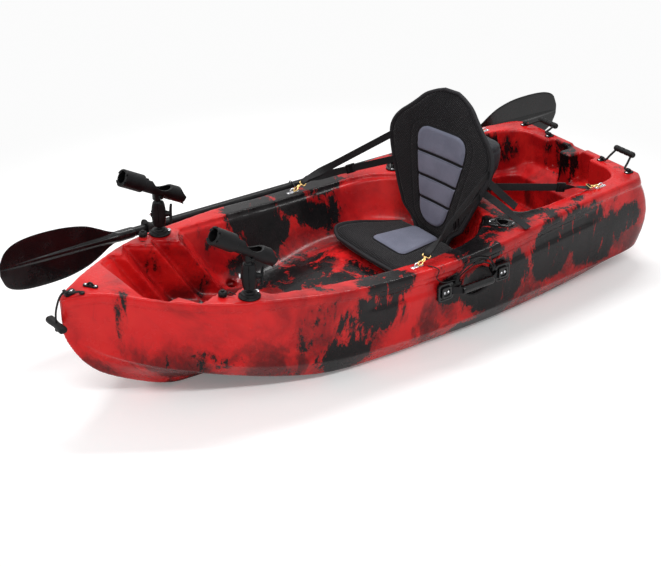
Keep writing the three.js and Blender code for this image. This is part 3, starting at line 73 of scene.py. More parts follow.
# Studio: a wide white floor that keeps the kayak's soft shadow, a white surround, and three
# soft boxes. The long one over the port side draws the highlight along the gunwale.
floor_size = 40
floor_mesh = bpy.data.meshes.new("floor")
corners = [(-1, -1), (1, -1), (1, 1), (-1, 1)]
floor_mesh.from_pydata([(x * floor_size / 2, y * floor_size / 2, -0.0006) for x, y in corners], [],
    [(0, 1, 2, 3)])
floor = bpy.data.objects.new("floor", floor_mesh)
bpy.context.scene.collection.objects.link(floor)
floor_finish = bpy.data.materials.new("floor_white")
floor_finish.use_nodes = True
tree = floor_finish.node_tree
tree.nodes.clear()
white = add_node(tree, "ShaderNodeBsdfDiffuse", {"Color": (0.93, 0.93, 0.93, 1)})
lift = add_node(tree, "ShaderNodeEmission", {"Color": (1, 1, 1, 1), "Strength": 0.16})
shadowed = add_node(tree, "ShaderNodeAddShader", {0: white.outputs[0], 1: lift.outputs[0]})
# Away from the kayak the floor is as white as the surround
place = add_node(tree, "ShaderNodeTexCoord").outputs["Object"]
away = add_node(tree, "ShaderNodeVectorMath", {0: place}, operation="LENGTH").outputs["Value"]
clear = add_node(tree, "ShaderNodeMapRange", {"Value": away, "From Min": 0.7, "From Max": 1.9},
    interpolation_type="SMOOTHSTEP")
plain = add_node(tree, "ShaderNodeEmission", {"Color": (1, 1, 1, 1), "Strength": 0.97})
backdrop = add_node(tree, "ShaderNodeMixShader",
    {0: clear.outputs[0], 1: shadowed.outputs[0], 2: plain.outputs[0]})
seen = add_node(tree, "ShaderNodeLightPath")
mixed = add_node(tree, "ShaderNodeMixShader", {0: seen.outputs["Is Camera Ray"], 1: white.outputs[0],
    2: backdrop.outputs[0]})
add_node(tree, "ShaderNodeOutputMaterial", {"Surface": mixed.outputs[0]})
floor_mesh.materials.append(floor_finish)

world = bpy.data.worlds.new("studio")
bpy.context.scene.world = world
world.use_nodes = True
tree = world.node_tree
tree.nodes.clear()
seen = add_node(tree, "ShaderNodeLightPath")
direct = add_node(tree, "ShaderNodeMath", {0: seen.outputs["Is Camera Ray"],
    1: seen.outputs["Is Transmission Ray"]}, operation="MAXIMUM")
shown = add_node(tree, "ShaderNodeMath", {0: direct.outputs[0], 1: seen.outputs["Is Glossy Ray"]},
    operation="MAXIMUM")
level = add_node(tree, "ShaderNodeMapRange", {"Value": shown.outputs[0], "To Min": 0.36, "To Max": 0.97})
sky = add_node(tree, "ShaderNodeBackground", {"Color": (1, 1, 1, 1), "Strength": level.outputs[0]})
add_node(tree, "ShaderNodeOutputWorld", {"Surface": sky.outputs[0]})

for name, at, aim, size, power in (
    ("soft_box_port", (-1.0, -2.3, 2.9), (0, -0.2, 0.2), (3.4, 0.30), 62),
    ("soft_box_top", (0.6, 1.0, 3.2), (0, 0, 0.2), (3.0, 0.40), 92),
    ("soft_box_bow", (-3.4, 0.6, 1.8), (-0.4, 0, 0.3), (1.4, 0.6), 26),
):
    lamp = bpy.data.lights.new(name, "AREA")
    lamp.shape = "RECTANGLE"
    lamp.size, lamp.size_y = size
    lamp.energy = power
    box = bpy.data.objects.new(name, lamp)
    bpy.context.scene.collection.objects.link(box)
    box.location = at
    box.rotation_euler = (Vector(aim) - Vector(at)).to_track_quat("-Z", "Y").to_euler()

# Hull: one shell of polyethylene, spun in a hot mould from red powder with black thrown in, so
# its edges are all soft and the colours break up into speckle. Its lines are the builder's
# sections: gunwale, chine, bottom corner and keel at stations along the length.
half_length, half_breadth, depth = 1.0, 0.364, 0.300
keel_half, tunnel_rise, foot_strip, bilge_round, chine_round = 0.042, 0.016, 0.026, 0.012, 0.009
lip_out, lip_height, edge_round, side_bulge, flute_depth = 0.006, 0.026, 0.007, 0.005, 0.007
line_shares = [
    (-1.003, 0.022, 1.2, 0.016, 1.06, 0.01, 0.907, 0.833),
    (-0.995, 0.044, 1.215, 0.03, 1.02, 0.019, 0.85, 0.76),
    (-0.98, 0.069, 1.233, 0.047, 0.985, 0.029, 0.787, 0.65),
    (-0.95, 0.115, 1.253, 0.082, 0.933, 0.054, 0.7, 0.493),
    (-0.9, 0.203, 1.263, 0.165, 0.883, 0.128, 0.567, 0.327),
    (-0.8, 0.418, 1.207, 0.368, 0.783, 0.335, 0.433, 0.15),
    (-0.7, 0.599, 1.163, 0.543, 0.573, 0.488, 0.333, 0.027),
    (-0.6, 0.728, 1.123, 0.668, 0.45, 0.558, 0.22, 0),
    (-0.45, 0.841, 1.073, 0.786, 0.347, 0.681, 0.1, 0),
    (-0.3, 0.934, 1.03, 0.868, 0.287, 0.766, 0.02, 0),
    (-0.1, 0.97, 0.987, 0.918, 0.263, 0.805, 0, 0),
    (0.1, 0.994, 0.983, 0.934, 0.257, 0.821, 0, 0),
    (0.3, 0.994, 1.02, 0.937, 0.273, 0.824, 0, 0),
    (0.5, 0.953, 1.063, 0.901, 0.267, 0.788, 0, 0),
    (0.7, 0.901, 1.09, 0.849, 0.247, 0.742, 0.02, 0),
    (0.85, 0.857, 1.087, 0.816, 0.24, 0.692, 0.045, 0.007),
    (0.92, 0.824, 1.077, 0.783, 0.25, 0.659, 0.065, 0.02),
    (0.945, 0.747, 1.077, 0.72, 0.26, 0.61, 0.073, 0.027),
]
transom_shares = [
    (0, -0.075), (0.067, -0.032), (0.18, 0.014), (0.3, 0.033), (0.417, 0.045), (0.567, 0.051),
    (0.673, 0.048), (0.847, 0.032), (0.983, 0.01), (1.077, 0), (1.3, 0),
]
transom_fade = (0.7, 0.945)
flute_fade = (-0.23, -0.17, 0.65, 0.76)
cockpit_shares = [(-0.815, 0.335, 0.5, 0.15, 0.63), (-0.762, 0.473, 0.47, 0.15, 0.63),
    (-0.728, 0.426, 0.45, 0.15, 0.63), (-0.691, 0.602, 0.44, 0.15, 0.63),
    (-0.612, 0.489, 0.42, 0.15, 0.63), (-0.594, 0.585, 0.415, 0.15, 0.63),
    (-0.525, 0.478, 0.4, 0.15, 0.63), (-0.503, 0.6, 0.4, 0.18, 0.62), (-0.48, 0.69, 0.4, 0.22, 0.58),
    (-0.43, 0.712, 0.4, 0.25, 0.5), (-0.34, 0.745, 0.4, 0.3, 0.34), (-0.25, 0.77, 0.41, 0.36, 0.18),
    (-0.15, 0.79, 0.45, 0.42, 0.08), (-0.05, 0.802, 0.49, 0.45, 0.02), (0.05, 0.812, 0.5, 0.45, 0),
    (0.15, 0.805, 0.5, 0.45, -0.02), (0.22, 0.775, 0.5, 0.42, -0.05), (0.275, 0.71, 0.5, 0.36, -0.08),
    (0.315, 0.62, 0.5, 0.28, -0.1), (0.345, 0.52, 0.5, 0.22, -0.11), (0.36, 0.42, 0.5, 0.2, -0.11)]
crown_shares = [(-0.815, 0), (-0.6, 0), (-0.35, 0.03), (-0.12, 0.055), (0.02, 0), (0.4, 0)]
tank_shares = [
    (0.432, 0.6, 0.6), (0.45, 0.68, 0.6), (0.5, 0.728, 0.6), (0.6, 0.742, 0.6), (0.7, 0.735, 0.6),
    (0.78, 0.715, 0.6), (0.84, 0.67, 0.6), (0.872, 0.59, 0.69), (0.888, 0.49, 0.735),
]
over = 0.012  # how far a cutting body runs past the face it cuts
scupper_holes, scupper_radius = [(-0.340, 0.186, 0.4), (0.170, 0.120, 0.5), (0.620, 0.120, 0.26)], 0.014


def smooth(x, low, high):
    t = min(max((x - low) / (high - low), 0), 1)
    return t * t * (3 - 2 * t)


def row_at(rows, x, straight=False):
    """Row of a share table at a station: cubic through the rows, or straight between them."""
    last = len(rows) - 1
    i = 0
    while i < last - 1 and x > rows[i + 1][0]:
        i += 1
    p, q = rows[i], rows[i + 1]
    span = q[0] - p[0]
    t = min(max((x - p[0]) / span, 0), 1)
    before, after = rows[max(i - 1, 0)], rows[min(i + 2, last)]
    out = []
    for k in range(1, len(p)):
        if straight:
            out.append(p[k] + (q[k] - p[k]) * t)
            continue
        slope_in = (q[k] - before[k]) / (q[0] - before[0])
        slope_out = (after[k] - p[k]) / (after[0] - p[0])
        t2, t3 = t * t, t ** 3
        out.append((2 * t3 - 3 * t2 + 1) * p[k] + (t3 - 2 * t2 + t) * span * slope_in
            + (3 * t2 - 2 * t3) * q[k] + (t3 - t2) * span * slope_out)
    return out


def hull_lines(share):
    b, top, cb, cz, lb, lz, kz = row_at(line_shares, share)
    return (b * half_breadth, top * depth, cb * half_breadth, cz * depth, lb * half_breadth,
            lz * depth, kz * depth)


def hull_half(share):
    """Half section from the bottom middle to the top middle, as (y, z)."""
    breadth, sheer, chine_y, chine_z, corner_y, corner_z, keel_z = hull_lines(share)
    small = min(1, corner_y / (half_breadth / 2))
    edge = edge_round * min(1, breadth / (half_breadth / 8))
    lip = lip_out * min(1, breadth / (half_breadth / 6))
    keel = keel_half * small
    inner, outer = keel + (corner_y - keel) * 0.24, keel + (corner_y - keel) * 0.66
    rise = lambda y: keel_z + (corner_z - keel_z) * (y - keel) / (corner_y - keel)
    top_y, top_z = breadth - lip, sheer - lip_height - lip / 2
    flute = flute_depth * smooth(share, *flute_fade[:2]) * (1 - smooth(share, *flute_fade[2:]))
    side = lambda t, inset=0: (chine_y + (top_y - chine_y) * t
        + side_bulge * small * math.sin(math.pi * t) - inset, chine_z + (top_z - chine_z) * t)
    return [(0, keel_z), (keel, keel_z), (inner, rise(inner) + tunnel_rise * small),
        (outer, rise(outer) + tunnel_rise * small), (corner_y - foot_strip * small, corner_z),
        (corner_y, corner_z + bilge_round * small),
        (chine_y - 0.0015 * small, chine_z - chine_round * small), side(0.05), side(0.2), side(0.35),
        side(0.52), side(0.68), side(0.73, flute), side(0.8, flute), side(0.88, flute), side(0.93),
        (top_y, top_z), (breadth, sheer - lip_height), (breadth, sheer - edge),
        (breadth - edge * 0.3, sheer - edge * 0.3), (breadth - edge, sheer), (0, sheer)]


def deck_at(x):
    return hull_lines(x / half_length)[1]


def side_at(x, z):
    half = hull_half(x / half_length)
    for (y0, z0), (y1, z1) in list(zip(half, half[1:]))[6:]:
        if z0 <= z <= z1:
            return y0 + (y1 - y0) * (z - z0) / (z1 - z0)


def ring(half, place):
    return [place(y, z) for y, z in half] + [place(-y, z) for y, z in reversed(half[1:-1])]


def loft(rings, across=False):
    """Skin over closed rings of points: its ends are filled from side to side, or from their middle."""
    count = len(rings[0])
    points = [p for r in rings for p in r]
    faces = []
    for i in range(len(rings) - 1):
        for j in range(count):
            a, b = i * count + j, i * count + (j + 1) % count
            faces.append((a, b, b + count, a + count))
    for start, back in ((0, True), ((len(rings) - 1) * count, False)):
        if across:
            for j in range(count // 2):
                quad = [start + j, start + j + 1, start + count - j - 1, start + (count - j) % count]
                quad = list(dict.fromkeys(quad))
                if len(quad) > 2:
                    faces.append(tuple(quad[::-1] if back else quad))
        else:
            middle = len(points)
            points.append(tuple(np.mean([points[start + j] for j in range(count)], axis=0)))
            for j in range(count):
                face = (start + j, start + (j + 1) % count, middle)
                faces.append(face[::-1] if back else face)
    return mesh_from(points, faces)


def faced_out(mesh, merge=False, slivers=False):
    """The mesh with its faces turned outwards, its doubles merged or faces without an area dissolved."""
    shape = bmesh.new()
    shape.from_mesh(mesh)
    if merge:
        bmesh.ops.remove_doubles(shape, verts=shape.verts, dist=1e-6)
    if slivers:
        bmesh.ops.dissolve_degenerate(shape, dist=1e-7, edges=shape.edges)
    bmesh.ops.recalc_face_normals(shape, faces=shape.faces)
    shape.to_mesh(mesh)
    shape.free()
    return mesh


def mesh_from(points, faces):
    mesh = bpy.data.meshes.new("shape")
    mesh.from_pydata([tuple(p) for p in points], [], faces)
    return faced_out(mesh, merge=True)


def moved(x, y, z):
    return Matrix.Translation((x, y, z))


def mirrored(side):
    """To starboard as built for a side of 1, to port for -1."""
    return Matrix.Diagonal((1, side, 1, 1))


def spin(degrees, axis):
    return Matrix.Rotation(math.radians(degrees), 4, axis)


def angles(count):
    return [2 * math.pi * i / count for i in range(count)]


def bulged(share, power):
    """A share from -1 to 1 pushed outwards, which squares up a round section."""
    return math.copysign(abs(share) ** power, share)


def lay(mesh, x=0.0, y=0.0, z=0.0, turn=(0, 0, 0), matrix=None):
    """The mesh turned by degrees about X, Y and Z, and moved; a mirrored one keeps its faces outwards."""
    if matrix is None:
        a, b, c = (math.radians(v) for v in turn)
        matrix = (moved(x, y, z) @ Matrix.Rotation(c, 4, "Z") @ Matrix.Rotation(b, 4, "Y")
            @ Matrix.Rotation(a, 4, "X"))
    mesh.transform(matrix)
    if matrix.to_3x3().determinant() < 0:
        mesh.flip_normals()
    return mesh


def box_shape(x, y, z, round_by=0, steps=2):
    shape = bmesh.new()
    bmesh.ops.create_cube(shape, size=1)
    bmesh.ops.scale(shape, vec=(x, y, z), verts=shape.verts)
    if round_by:
        bmesh.ops.bevel(shape, geom=shape.edges[:], offset=round_by, segments=steps, affect="EDGES",
            profile=0.5)
    mesh = bpy.data.meshes.new("shape")
    shape.to_mesh(mesh)
    shape.free()
    return mesh


def turned(profile, sides=48):
    """Body of revolution about Z from (radius, height) pairs, from axis to axis or closed on themselves."""
    hollow = profile[0][0] > 0
    points, faces = [], []
    for i in range(sides):
        a = 2 * math.pi * i / sides
        points += [(r * math.cos(a), r * math.sin(a), h) for r, h in profile]
    n = len(profile)
    for i in range(sides):
        j = (i + 1) % sides
        for k in range(n if hollow else n - 1):
            m = (k + 1) % n
            faces.append((i * n + k, j * n + k, j * n + m, i * n + m))
    return faced_out(mesh_from(points, faces), slivers=True)


def bar(radius, length, sides=32, top=None, round_by=0.0):
    top = radius if top is None else top
    r = round_by
    low, high = -length / 2, length / 2
    if r:
        profile = [(0, low), (radius - r, low), (radius - r * 0.3, low + r * 0.3), (radius, low + r),
            (top, high - r), (top - r * 0.3, high - r * 0.3), (top - r, high), (0, high)]
    else:
        profile = [(0, low), (radius, low), (top, high), (0, high)]
    return turned(profile, sides)


def slab(length, width, thick, corner, steps=6, round_by=0.0):
    """Plate with round corners, lying in XY with its bottom on z 0, its top edge rounded."""
    a, b = length / 2, width / 2
    r = min(corner, a * 0.999, b * 0.999)
    rings = []
    layers = [(0, 0), (thick, 0)] if not round_by else [
        (0, 0), (thick - round_by, 0), (thick - round_by * 0.3, round_by * 0.3), (thick, round_by)]
    for z, inset in layers:
        points = []
        for cx, cy, start in ((a - r, b - r, 0), (r - a, b - r, 90), (r - a, r - b, 180),
                (a - r, r - b, 270)):
            for i in range(steps + 1):
                t = math.radians(start + 90 * i / steps)
                points.append((cx + max(r - inset, 1e-5) * math.cos(t),
                    cy + max(r - inset, 1e-5) * math.sin(t), z))
        rings.append(points)
    return loft(rings)


def ball(radius, sides=32, rows=20):
    profile = [(radius * math.sin(math.pi * i / rows), -radius * math.cos(math.pi * i / rows))
        for i in range(rows + 1)]
    profile[0], profile[-1] = (0, -radius), (0, radius)
    return turned(profile, sides)


def put_object(name, mesh):
    obj = bpy.data.objects.new(name, mesh)
    bpy.context.scene.collection.objects.link(obj)
    return obj


def baked(obj):
    """The plain mesh that an object's modifiers make; the object is then taken away."""
    bpy.context.view_layer.update()
    mesh = bpy.data.meshes.new_from_object(obj.evaluated_get(bpy.context.evaluated_depsgraph_get()))
    bpy.data.objects.remove(obj)
    return mesh


def worked(mesh, *steps):
    """The mesh after cuts, joins and other modifiers: (kind, settings), where a mesh is a tool."""
    obj = put_object("work", mesh)
    tools = []
    for kind, settings in steps:
        modifier = obj.modifiers.new(kind.lower(), kind)
        for key, value in settings.items():
            if isinstance(value, bpy.types.Mesh):
                value = put_object("tool", value)
                tools.append(value)
            setattr(modifier, key, value)
    result = baked(obj)
    for tool in tools:
        bpy.data.objects.remove(tool)
    return result


def cut(tool):
    return "BOOLEAN", {"operation": "DIFFERENCE", "solver": "EXACT", "object": tool}


def fuse(tool):
    return "BOOLEAN", {"operation": "UNION", "solver": "EXACT", "object": tool}


def joined(*meshes):
    """Several meshes as one, their shells side by side."""
    shape = bmesh.new()
    for mesh in meshes:
        shape.from_mesh(mesh)
    whole = bpy.data.meshes.new("shape")
    shape.to_mesh(whole)
    shape.free()
    return whole


def hull_shell():
    stations = sorted({round(-1.003 + 0.012 * i, 4) for i in range(163)} | {row[0] for row in line_shares})
    stations = [s for s in stations if s <= 0.945]
    rings = []
    for share in stations:
        fade = smooth(share, *transom_fade)
        rings.append(ring(hull_half(share), lambda y, z: (
            (share + row_at(transom_shares, z / depth)[0] * fade) * half_length, y, z)))
    return loft(rings, across=True)


def cockpit_cutter():
    """The mouth, walls and floor of the cockpit: its walls lean in, its stations slide aft with depth."""
    rows = list(cockpit_shares[:9])
    rows += [(s, *row_at(cockpit_shares[8:], s)) for s in np.arange(-0.468, 0.356, 0.012)]
    rows.append(cockpit_shares[-1])
    rings = []
    for share, mouth, floor_share, lean, slide in rows:
        sheer = hull_lines(share)[1]
        crown = row_at(crown_shares, share, True)[0] * depth
        half, low = mouth * half_breadth, floor_share * depth
        foot = half - lean * (sheer - low) - 0.005
        r = min(0.042, foot * 0.45)
        corner = []
        for i in range(7):
            t = i / 6
            corner.append(((1 - t) ** 2 * (foot - r) + 2 * t * (1 - t) * foot + t * t * (foot + lean * r),
                low + t * t * r))
        profile = [(0, low + crown), (foot * 0.2, low + crown * 0.87), (foot * 0.4, low + crown * 0.6),
            (foot * 0.6, low + crown * 0.25), *corner, (half - lean * 0.016 - 0.005, sheer - 0.016),
            (half, sheer - 0.013), (half, sheer), (half, sheer + over), (0, sheer + over)]
        rings.append(ring(profile, lambda y, z: (share * half_length + slide * max(0, sheer - z), y, z)))
    return loft(rings, across=True)


def tank_cutter():
    rings = []
    for share in [tank_shares[0][0], *np.arange(0.438, 0.885, 0.009), tank_shares[-1][0]]:
        mouth, ledge_share = row_at(tank_shares, share)
        sheer = hull_lines(share)[1]
        half, ledge = mouth * half_breadth, ledge_share * depth
        foot = half - 0.16 * (sheer - ledge)
        profile = [(0, ledge), (foot - 0.016, ledge), (foot - 0.006, ledge + 0.004), (foot, ledge + 0.012),
            (half, sheer), (half, sheer + over), (0, sheer + over)]
        rings.append(ring(profile, lambda y, z: (share * half_length, y, z)))
    return loft(rings, across=True)


rod_x, rod_y, rod_pad, base_radius = -0.549, 0.243, 0.333, 0.0315
handle_x, handle_z, plate_spread, plate_size, plate_thick = 0.173, 0.203, 0.220, 0.058, 0.009
rim_top, recess_floor = hull_lines(transom_fade[1])[1], 0.222
well_long, well_wide, well_high, well_x, well_floor = 0.382, 0.416, 0.222, 0.647, 0.078
post_radius, post_high = base_radius + 0.004, 0.083
cuts = [cut(cockpit_cutter()), cut(tank_cutter()),
    cut(lay(slab(well_long, well_wide, well_high, 0.040), well_x, 0, well_floor))]
for y in (-rod_y, rod_y):
    cuts.insert(0, fuse(lay(bar(post_radius, post_high, 48), rod_x, y, rod_pad - post_high / 2)))
    cuts.append(cut(lay(bar(post_radius, over * 2, 48), rod_x, y, rod_pad + over)))
# The recess in the transom's inner wall, its moulded post and the dip in its rim
for y in (-0.062, 0.062):
    cuts.append(cut(lay(box_shape(0.032, 0.072, rim_top - recess_floor + 0.006, 0.006, 3), 0.902, y,
        (rim_top + recess_floor) / 2 + 0.003)))
cuts.append(fuse(lay(slab(0.044, 0.052, rim_top - 0.156, 0.013), 0.890, 0, 0.149)))
cuts.append(cut(lay(box_shape(0.240, 0.068, 0.048, 0.004), 0.886 + 0.072, 0, rim_top + 0.017)))
for x, y, share in scupper_holes:
    for s in (1, -1):
        cuts.append(cut(lay(bar(scupper_radius, share * depth * 3, 24), x, s * y, share * depth)))
        cuts.append(cut(lay(bar(scupper_radius, 0.012, 24, 0.021), x, s * y, share * depth - 0.003)))
# The scooped hand recess behind each side handle
for s in (1, -1):
    bowl = lay(ball(1, 40, 24), matrix=moved(handle_x + 0.014, s * (side_at(handle_x, handle_z) + 0.004),
        handle_z) @ Matrix.Diagonal((0.062, 0.034, 0.050, 1)))
    cuts.append(cut(bowl))
flush_at, flush_turn, flush_tilt = (0.355, 0.268), 46, 28
flush_outer, flush_bore, flush_lean = 0.0225, 0.0185, 0.008


def flush_place(x, side):
    """Matrix of a flush rod holder's frame on the deck; side is 1 to starboard."""
    matrix = moved(flush_at[0], flush_at[1], deck_at(flush_at[0]) - 0.0012) @ spin(flush_turn, "Z")
    return mirrored(side) @ matrix @ x


def flush_sleeve(low, high):
    """Matrix of a length of the slanting sleeve, whose own axis is Z, from low to high along it."""
    return moved(flush_lean, 0, 0) @ spin(flush_tilt, "Y") @ moved(0, 0, (low + high) / 2)


for s in (1, -1):
    cuts.append(cut(lay(bar(flush_outer, 0.132, 32), matrix=flush_place(flush_sleeve(-0.120, 0.012), s))))
fineness, most_faces = 0.0046, 190000
hull_mesh = worked(
    hull_shell(), *cuts,
    ("REMESH", {"mode": "VOXEL", "voxel_size": fineness, "adaptivity": 0.0}),
    ("SMOOTH", {"factor": 0.5, "iterations": 3}),
)
count = sum(len(p.vertices) - 2 for p in hull_mesh.polygons)
hull_mesh = worked(hull_mesh, ("DECIMATE", {"ratio": min(1.0, most_faces / count)}))
hull_mesh.shade_smooth()
hull = put_object("hull_shell", hull_mesh)

# Where black powder lay in the mould, and in the clouds marked below, painted shade in hollows and by the
# seat cushion: middle, reach along each axis, and how dense it lay
black_clouds = [
    ((-0.150, -0.35, 0.300), (0.105, 0.10, 0.09), 1.0), ((-0.200, -0.35, 0.190), (0.120, 0.10, 0.11), 1.0),
    ((-0.262, -0.34, 0.070), (0.110, 0.12, 0.10), 1.0), ((0.100, -0.36, 0.190), (0.070, 0.07, 0.06), 0.9),
    ((0.235, -0.36, 0.150), (0.120, 0.09, 0.10), 1.0), ((0.200, -0.33, 0.290), (0.090, 0.10, 0.05), 0.9),
    ((0.250, -0.34, 0.030), (0.140, 0.12, 0.06), 0.9), ((0.350, -0.35, 0.170), (0.060, 0.08, 0.09), 0.9),
    ((0.520, -0.34, 0.210), (0.110, 0.10, 0.12), 1.0), ((0.640, -0.33, 0.250), (0.120, 0.10, 0.08), 1.0),
    ((0.740, -0.33, 0.160), (0.140, 0.10, 0.09), 1.0), ((0.870, -0.30, 0.200), (0.080, 0.10, 0.06), 0.8),
    ((0.300, -0.26, 0.320), (0.110, 0.08, 0.05), 1.0), ((0.440, -0.25, 0.330), (0.080, 0.07, 0.05), 0.7),
    ((-0.190, 0.27, 0.300), (0.120, 0.13, 0.08), 1.0), ((-0.170, 0.25, 0.220), (0.100, 0.10, 0.07), 1.0),
    ((-0.240, 0.22, 0.150), (0.110, 0.10, 0.05), 0.8), ((-0.040, 0.30, 0.290), (0.070, 0.10, 0.05), 0.9),
    # Painted shadow: the cloud at (0.060, 0.27, 0.210) lies where the cushion's far front corner shades the
    # cockpit wall
    ((0.110, 0.33, 0.300), (0.120, 0.08, 0.05), 0.8), ((0.060, 0.27, 0.210), (0.110, 0.07, 0.06), 0.75),
    # Painted shadow: both clouds on this line darken the cockpit floor in front of and under the cushion's
    # front
    ((-0.140, 0.10, 0.130), (0.200, 0.13, 0.05), 0.78), ((-0.060, -0.05, 0.140), (0.180, 0.14, 0.04), 0.7),
    # Painted shade: the cloud at (0.880, 0.05, 0.270) darkens the transom's inner wall round its recess
    ((0.800, 0.22, 0.260), (0.080, 0.10, 0.08), 0.8), ((0.880, 0.05, 0.270), (0.060, 0.10, 0.08), 1.0),
    # Painted shade: the cloud at (0.560, 0.10, 0.100) darkens the deep floor of the tank well
    ((0.560, 0.10, 0.100), (0.200, 0.20, 0.07), 0.8), ((0.520, 0.26, 0.200), (0.120, 0.08, 0.06), 0.8),
    ((-0.480, 0.36, 0.200), (0.140, 0.12, 0.10), 0.8), ((-0.120, 0.36, 0.160), (0.130, 0.10, 0.12), 1.0),
    ((0.320, 0.36, 0.220), (0.150, 0.10, 0.10), 1.0), ((0.620, 0.34, 0.140), (0.130, 0.10, 0.10), 1.0),
    ((0.850, 0.30, 0.260), (0.080, 0.10, 0.08), 0.9), ((0.930, 0.10, 0.120), (0.080, 0.14, 0.07), 1.0),
    ((0.960, -0.17, 0.110), (0.070, 0.09, 0.06), 0.8), ((0.500, -0.10, 0.000), (0.240, 0.16, 0.05), 0.9),
    ((0.050, 0.12, 0.000), (0.240, 0.16, 0.05), 0.9), ((-0.450, -0.10, 0.010), (0.200, 0.14, 0.05), 0.8),
    # Painted shade: the clouds at (-0.800, 0.14, 0.100) and (-0.770, 0.02, 0.160) darken the front end of
    # the footwell
    ((-0.690, -0.25, 0.130), (0.130, 0.12, 0.06), 0.5), ((-0.800, 0.14, 0.100), (0.110, 0.10, 0.07), 0.5),
    ((-0.770, 0.02, 0.160), (0.060, 0.10, 0.03), 0.7),
]
places = np.empty(len(hull_mesh.vertices) * 3)
hull_mesh.vertices.foreach_get("co", places)
places = places.reshape(-1, 3)
dark = np.zeros(len(places))
for middle, reach, dense in black_clouds:
    away = (((places - np.array(middle)) / np.array(reach)) ** 2).sum(axis=1)
    dark = np.maximum(dark, dense * np.clip(1.35 - away, 0, 1.35) / 1.35)
layer = hull_mesh.attributes.new("black_powder_and_shade", "FLOAT", "POINT")
layer.data.foreach_set("value", dark.astype(np.float32))


def new_material(name):
    made = bpy.data.materials.new(name)
    made.use_nodes = True
    made.node_tree.nodes.clear()
    return made


def shade(material, values):
    """The material's surface shader, with its sockets filled and its output linked."""
    surface = add_node(material.node_tree, "ShaderNodeBsdfPrincipled", values)
    add_node(material.node_tree, "ShaderNodeOutputMaterial", {"Surface": surface.outputs[0]})
    return surface


def new_group(name, inputs, outputs):
    """An empty shader node group: its sockets are (name, kind) or (name, kind, default)."""
    group = bpy.data.node_groups.new(name, "ShaderNodeTree")
    for key, kind, *value in inputs:
        socket = group.interface.new_socket(key, in_out="INPUT", socket_type=kind)
        if value:
            socket.default_value = value[0]
    for key, kind in outputs:
        group.interface.new_socket(key, in_out="OUTPUT", socket_type=kind)
    return group, add_node(group, "NodeGroupInput"), add_node(group, "NodeGroupOutput")


def filled(tree, group, values):
    """A shader node group set down in a material's tree."""
    return add_node(tree, "ShaderNodeGroup", values, node_tree=group)


def blend_colours(tree, amount, first, second):
    made = add_node(tree, "ShaderNodeMix", {0: amount, 6: first, 7: second}, data_type="RGBA",
        blend_type="MIX")
    return made.outputs[2]


def sums(tree, kind, first, second=0.0, third=0.0):
    return add_node(tree, "ShaderNodeMath", {0: first, 1: second, 2: third}, operation=kind).outputs[0]


def raised(tree, height, strength=1.0, distance=1.0):
    """The normal of a surface with this height on it."""
    return add_node(tree, "ShaderNodeBump", {"Strength": strength, "Distance": distance,
        "Height": height}).outputs[0]


def ramp(tree, value, low, high, to_low=0.0, to_high=1.0):
    made = add_node(tree, "ShaderNodeMapRange", {"Value": value, "From Min": low, "From Max": high,
        "To Min": to_low, "To Max": to_high}, interpolation_type="SMOOTHSTEP")
    return made.outputs[0]


def mottle(tree, scale, detail=3.0, rough=0.55, warp=0.0, stretch=None):
    """Noise in the object's own coordinates."""
    place = add_node(tree, "ShaderNodeTexCoord").outputs["Object"]
    if stretch:
        place = add_node(tree, "ShaderNodeMapping", {"Vector": place, "Scale": stretch}).outputs[0]
    return add_node(tree, "ShaderNodeTexNoise", {"Vector": place, "Scale": scale, "Detail": detail,
        "Roughness": rough, "Distortion": warp}).outputs["Fac"]


# Skin that a mould leaves: fine grain in the height, handling in the gloss
moulded_skin, given, made = new_group(
    "moulded_skin",
    [("Grain Scale", "NodeSocketFloat", 900.0), ("Grain Depth", "NodeSocketFloat", 0.0002),
     ("Wave Scale", "NodeSocketFloat", 40.0), ("Wave Depth", "NodeSocketFloat", 0.0004),
     ("Roughness", "NodeSocketFloat", 0.4), ("Roughness Spread", "NodeSocketFloat", 0.15)],
    [("Roughness", "NodeSocketFloat"), ("Normal", "NodeSocketVector"), ("Scuffs", "NodeSocketFloat")])
g = moulded_skin
place = add_node(g, "ShaderNodeTexCoord").outputs["Object"]
grain = add_node(g, "ShaderNodeTexNoise", {"Vector": place, "Scale": given.outputs["Grain Scale"],
    "Detail": 2.0})
wave = add_node(g, "ShaderNodeTexNoise", {"Vector": place, "Scale": given.outputs["Wave Scale"],
    "Detail": 2.0})
worn = add_node(g, "ShaderNodeTexNoise", {"Vector": place, "Scale": 14.0, "Detail": 6.0, "Roughness": 0.65})
height = sums(g, "MULTIPLY_ADD", grain.outputs["Fac"], given.outputs["Grain Depth"],
    sums(g, "MULTIPLY", wave.outputs["Fac"], given.outputs["Wave Depth"]))
bump = raised(g, height)
scuffs = ramp(g, worn.outputs["Fac"], 0.42, 0.68)
g.links.new(sums(g, "MULTIPLY_ADD", scuffs, given.outputs["Roughness Spread"],
    given.outputs["Roughness"]), made.inputs["Roughness"])
g.links.new(bump, made.inputs["Normal"])
g.links.new(scuffs, made.inputs["Scuffs"])


def skin_on(tree, *feel):
    """Moulded skin with its grain's scale and depth, its waves' scale and depth, roughness and spread."""
    names = "Grain Scale", "Grain Depth", "Wave Scale", "Wave Depth", "Roughness", "Roughness Spread"
    return filled(tree, moulded_skin, dict(zip(names, feel)))


def centred(tree, pattern, amount):
    """A pattern as a push up and down, this strong."""
    return sums(tree, "MULTIPLY", sums(tree, "SUBTRACT", pattern, 0.5), amount)


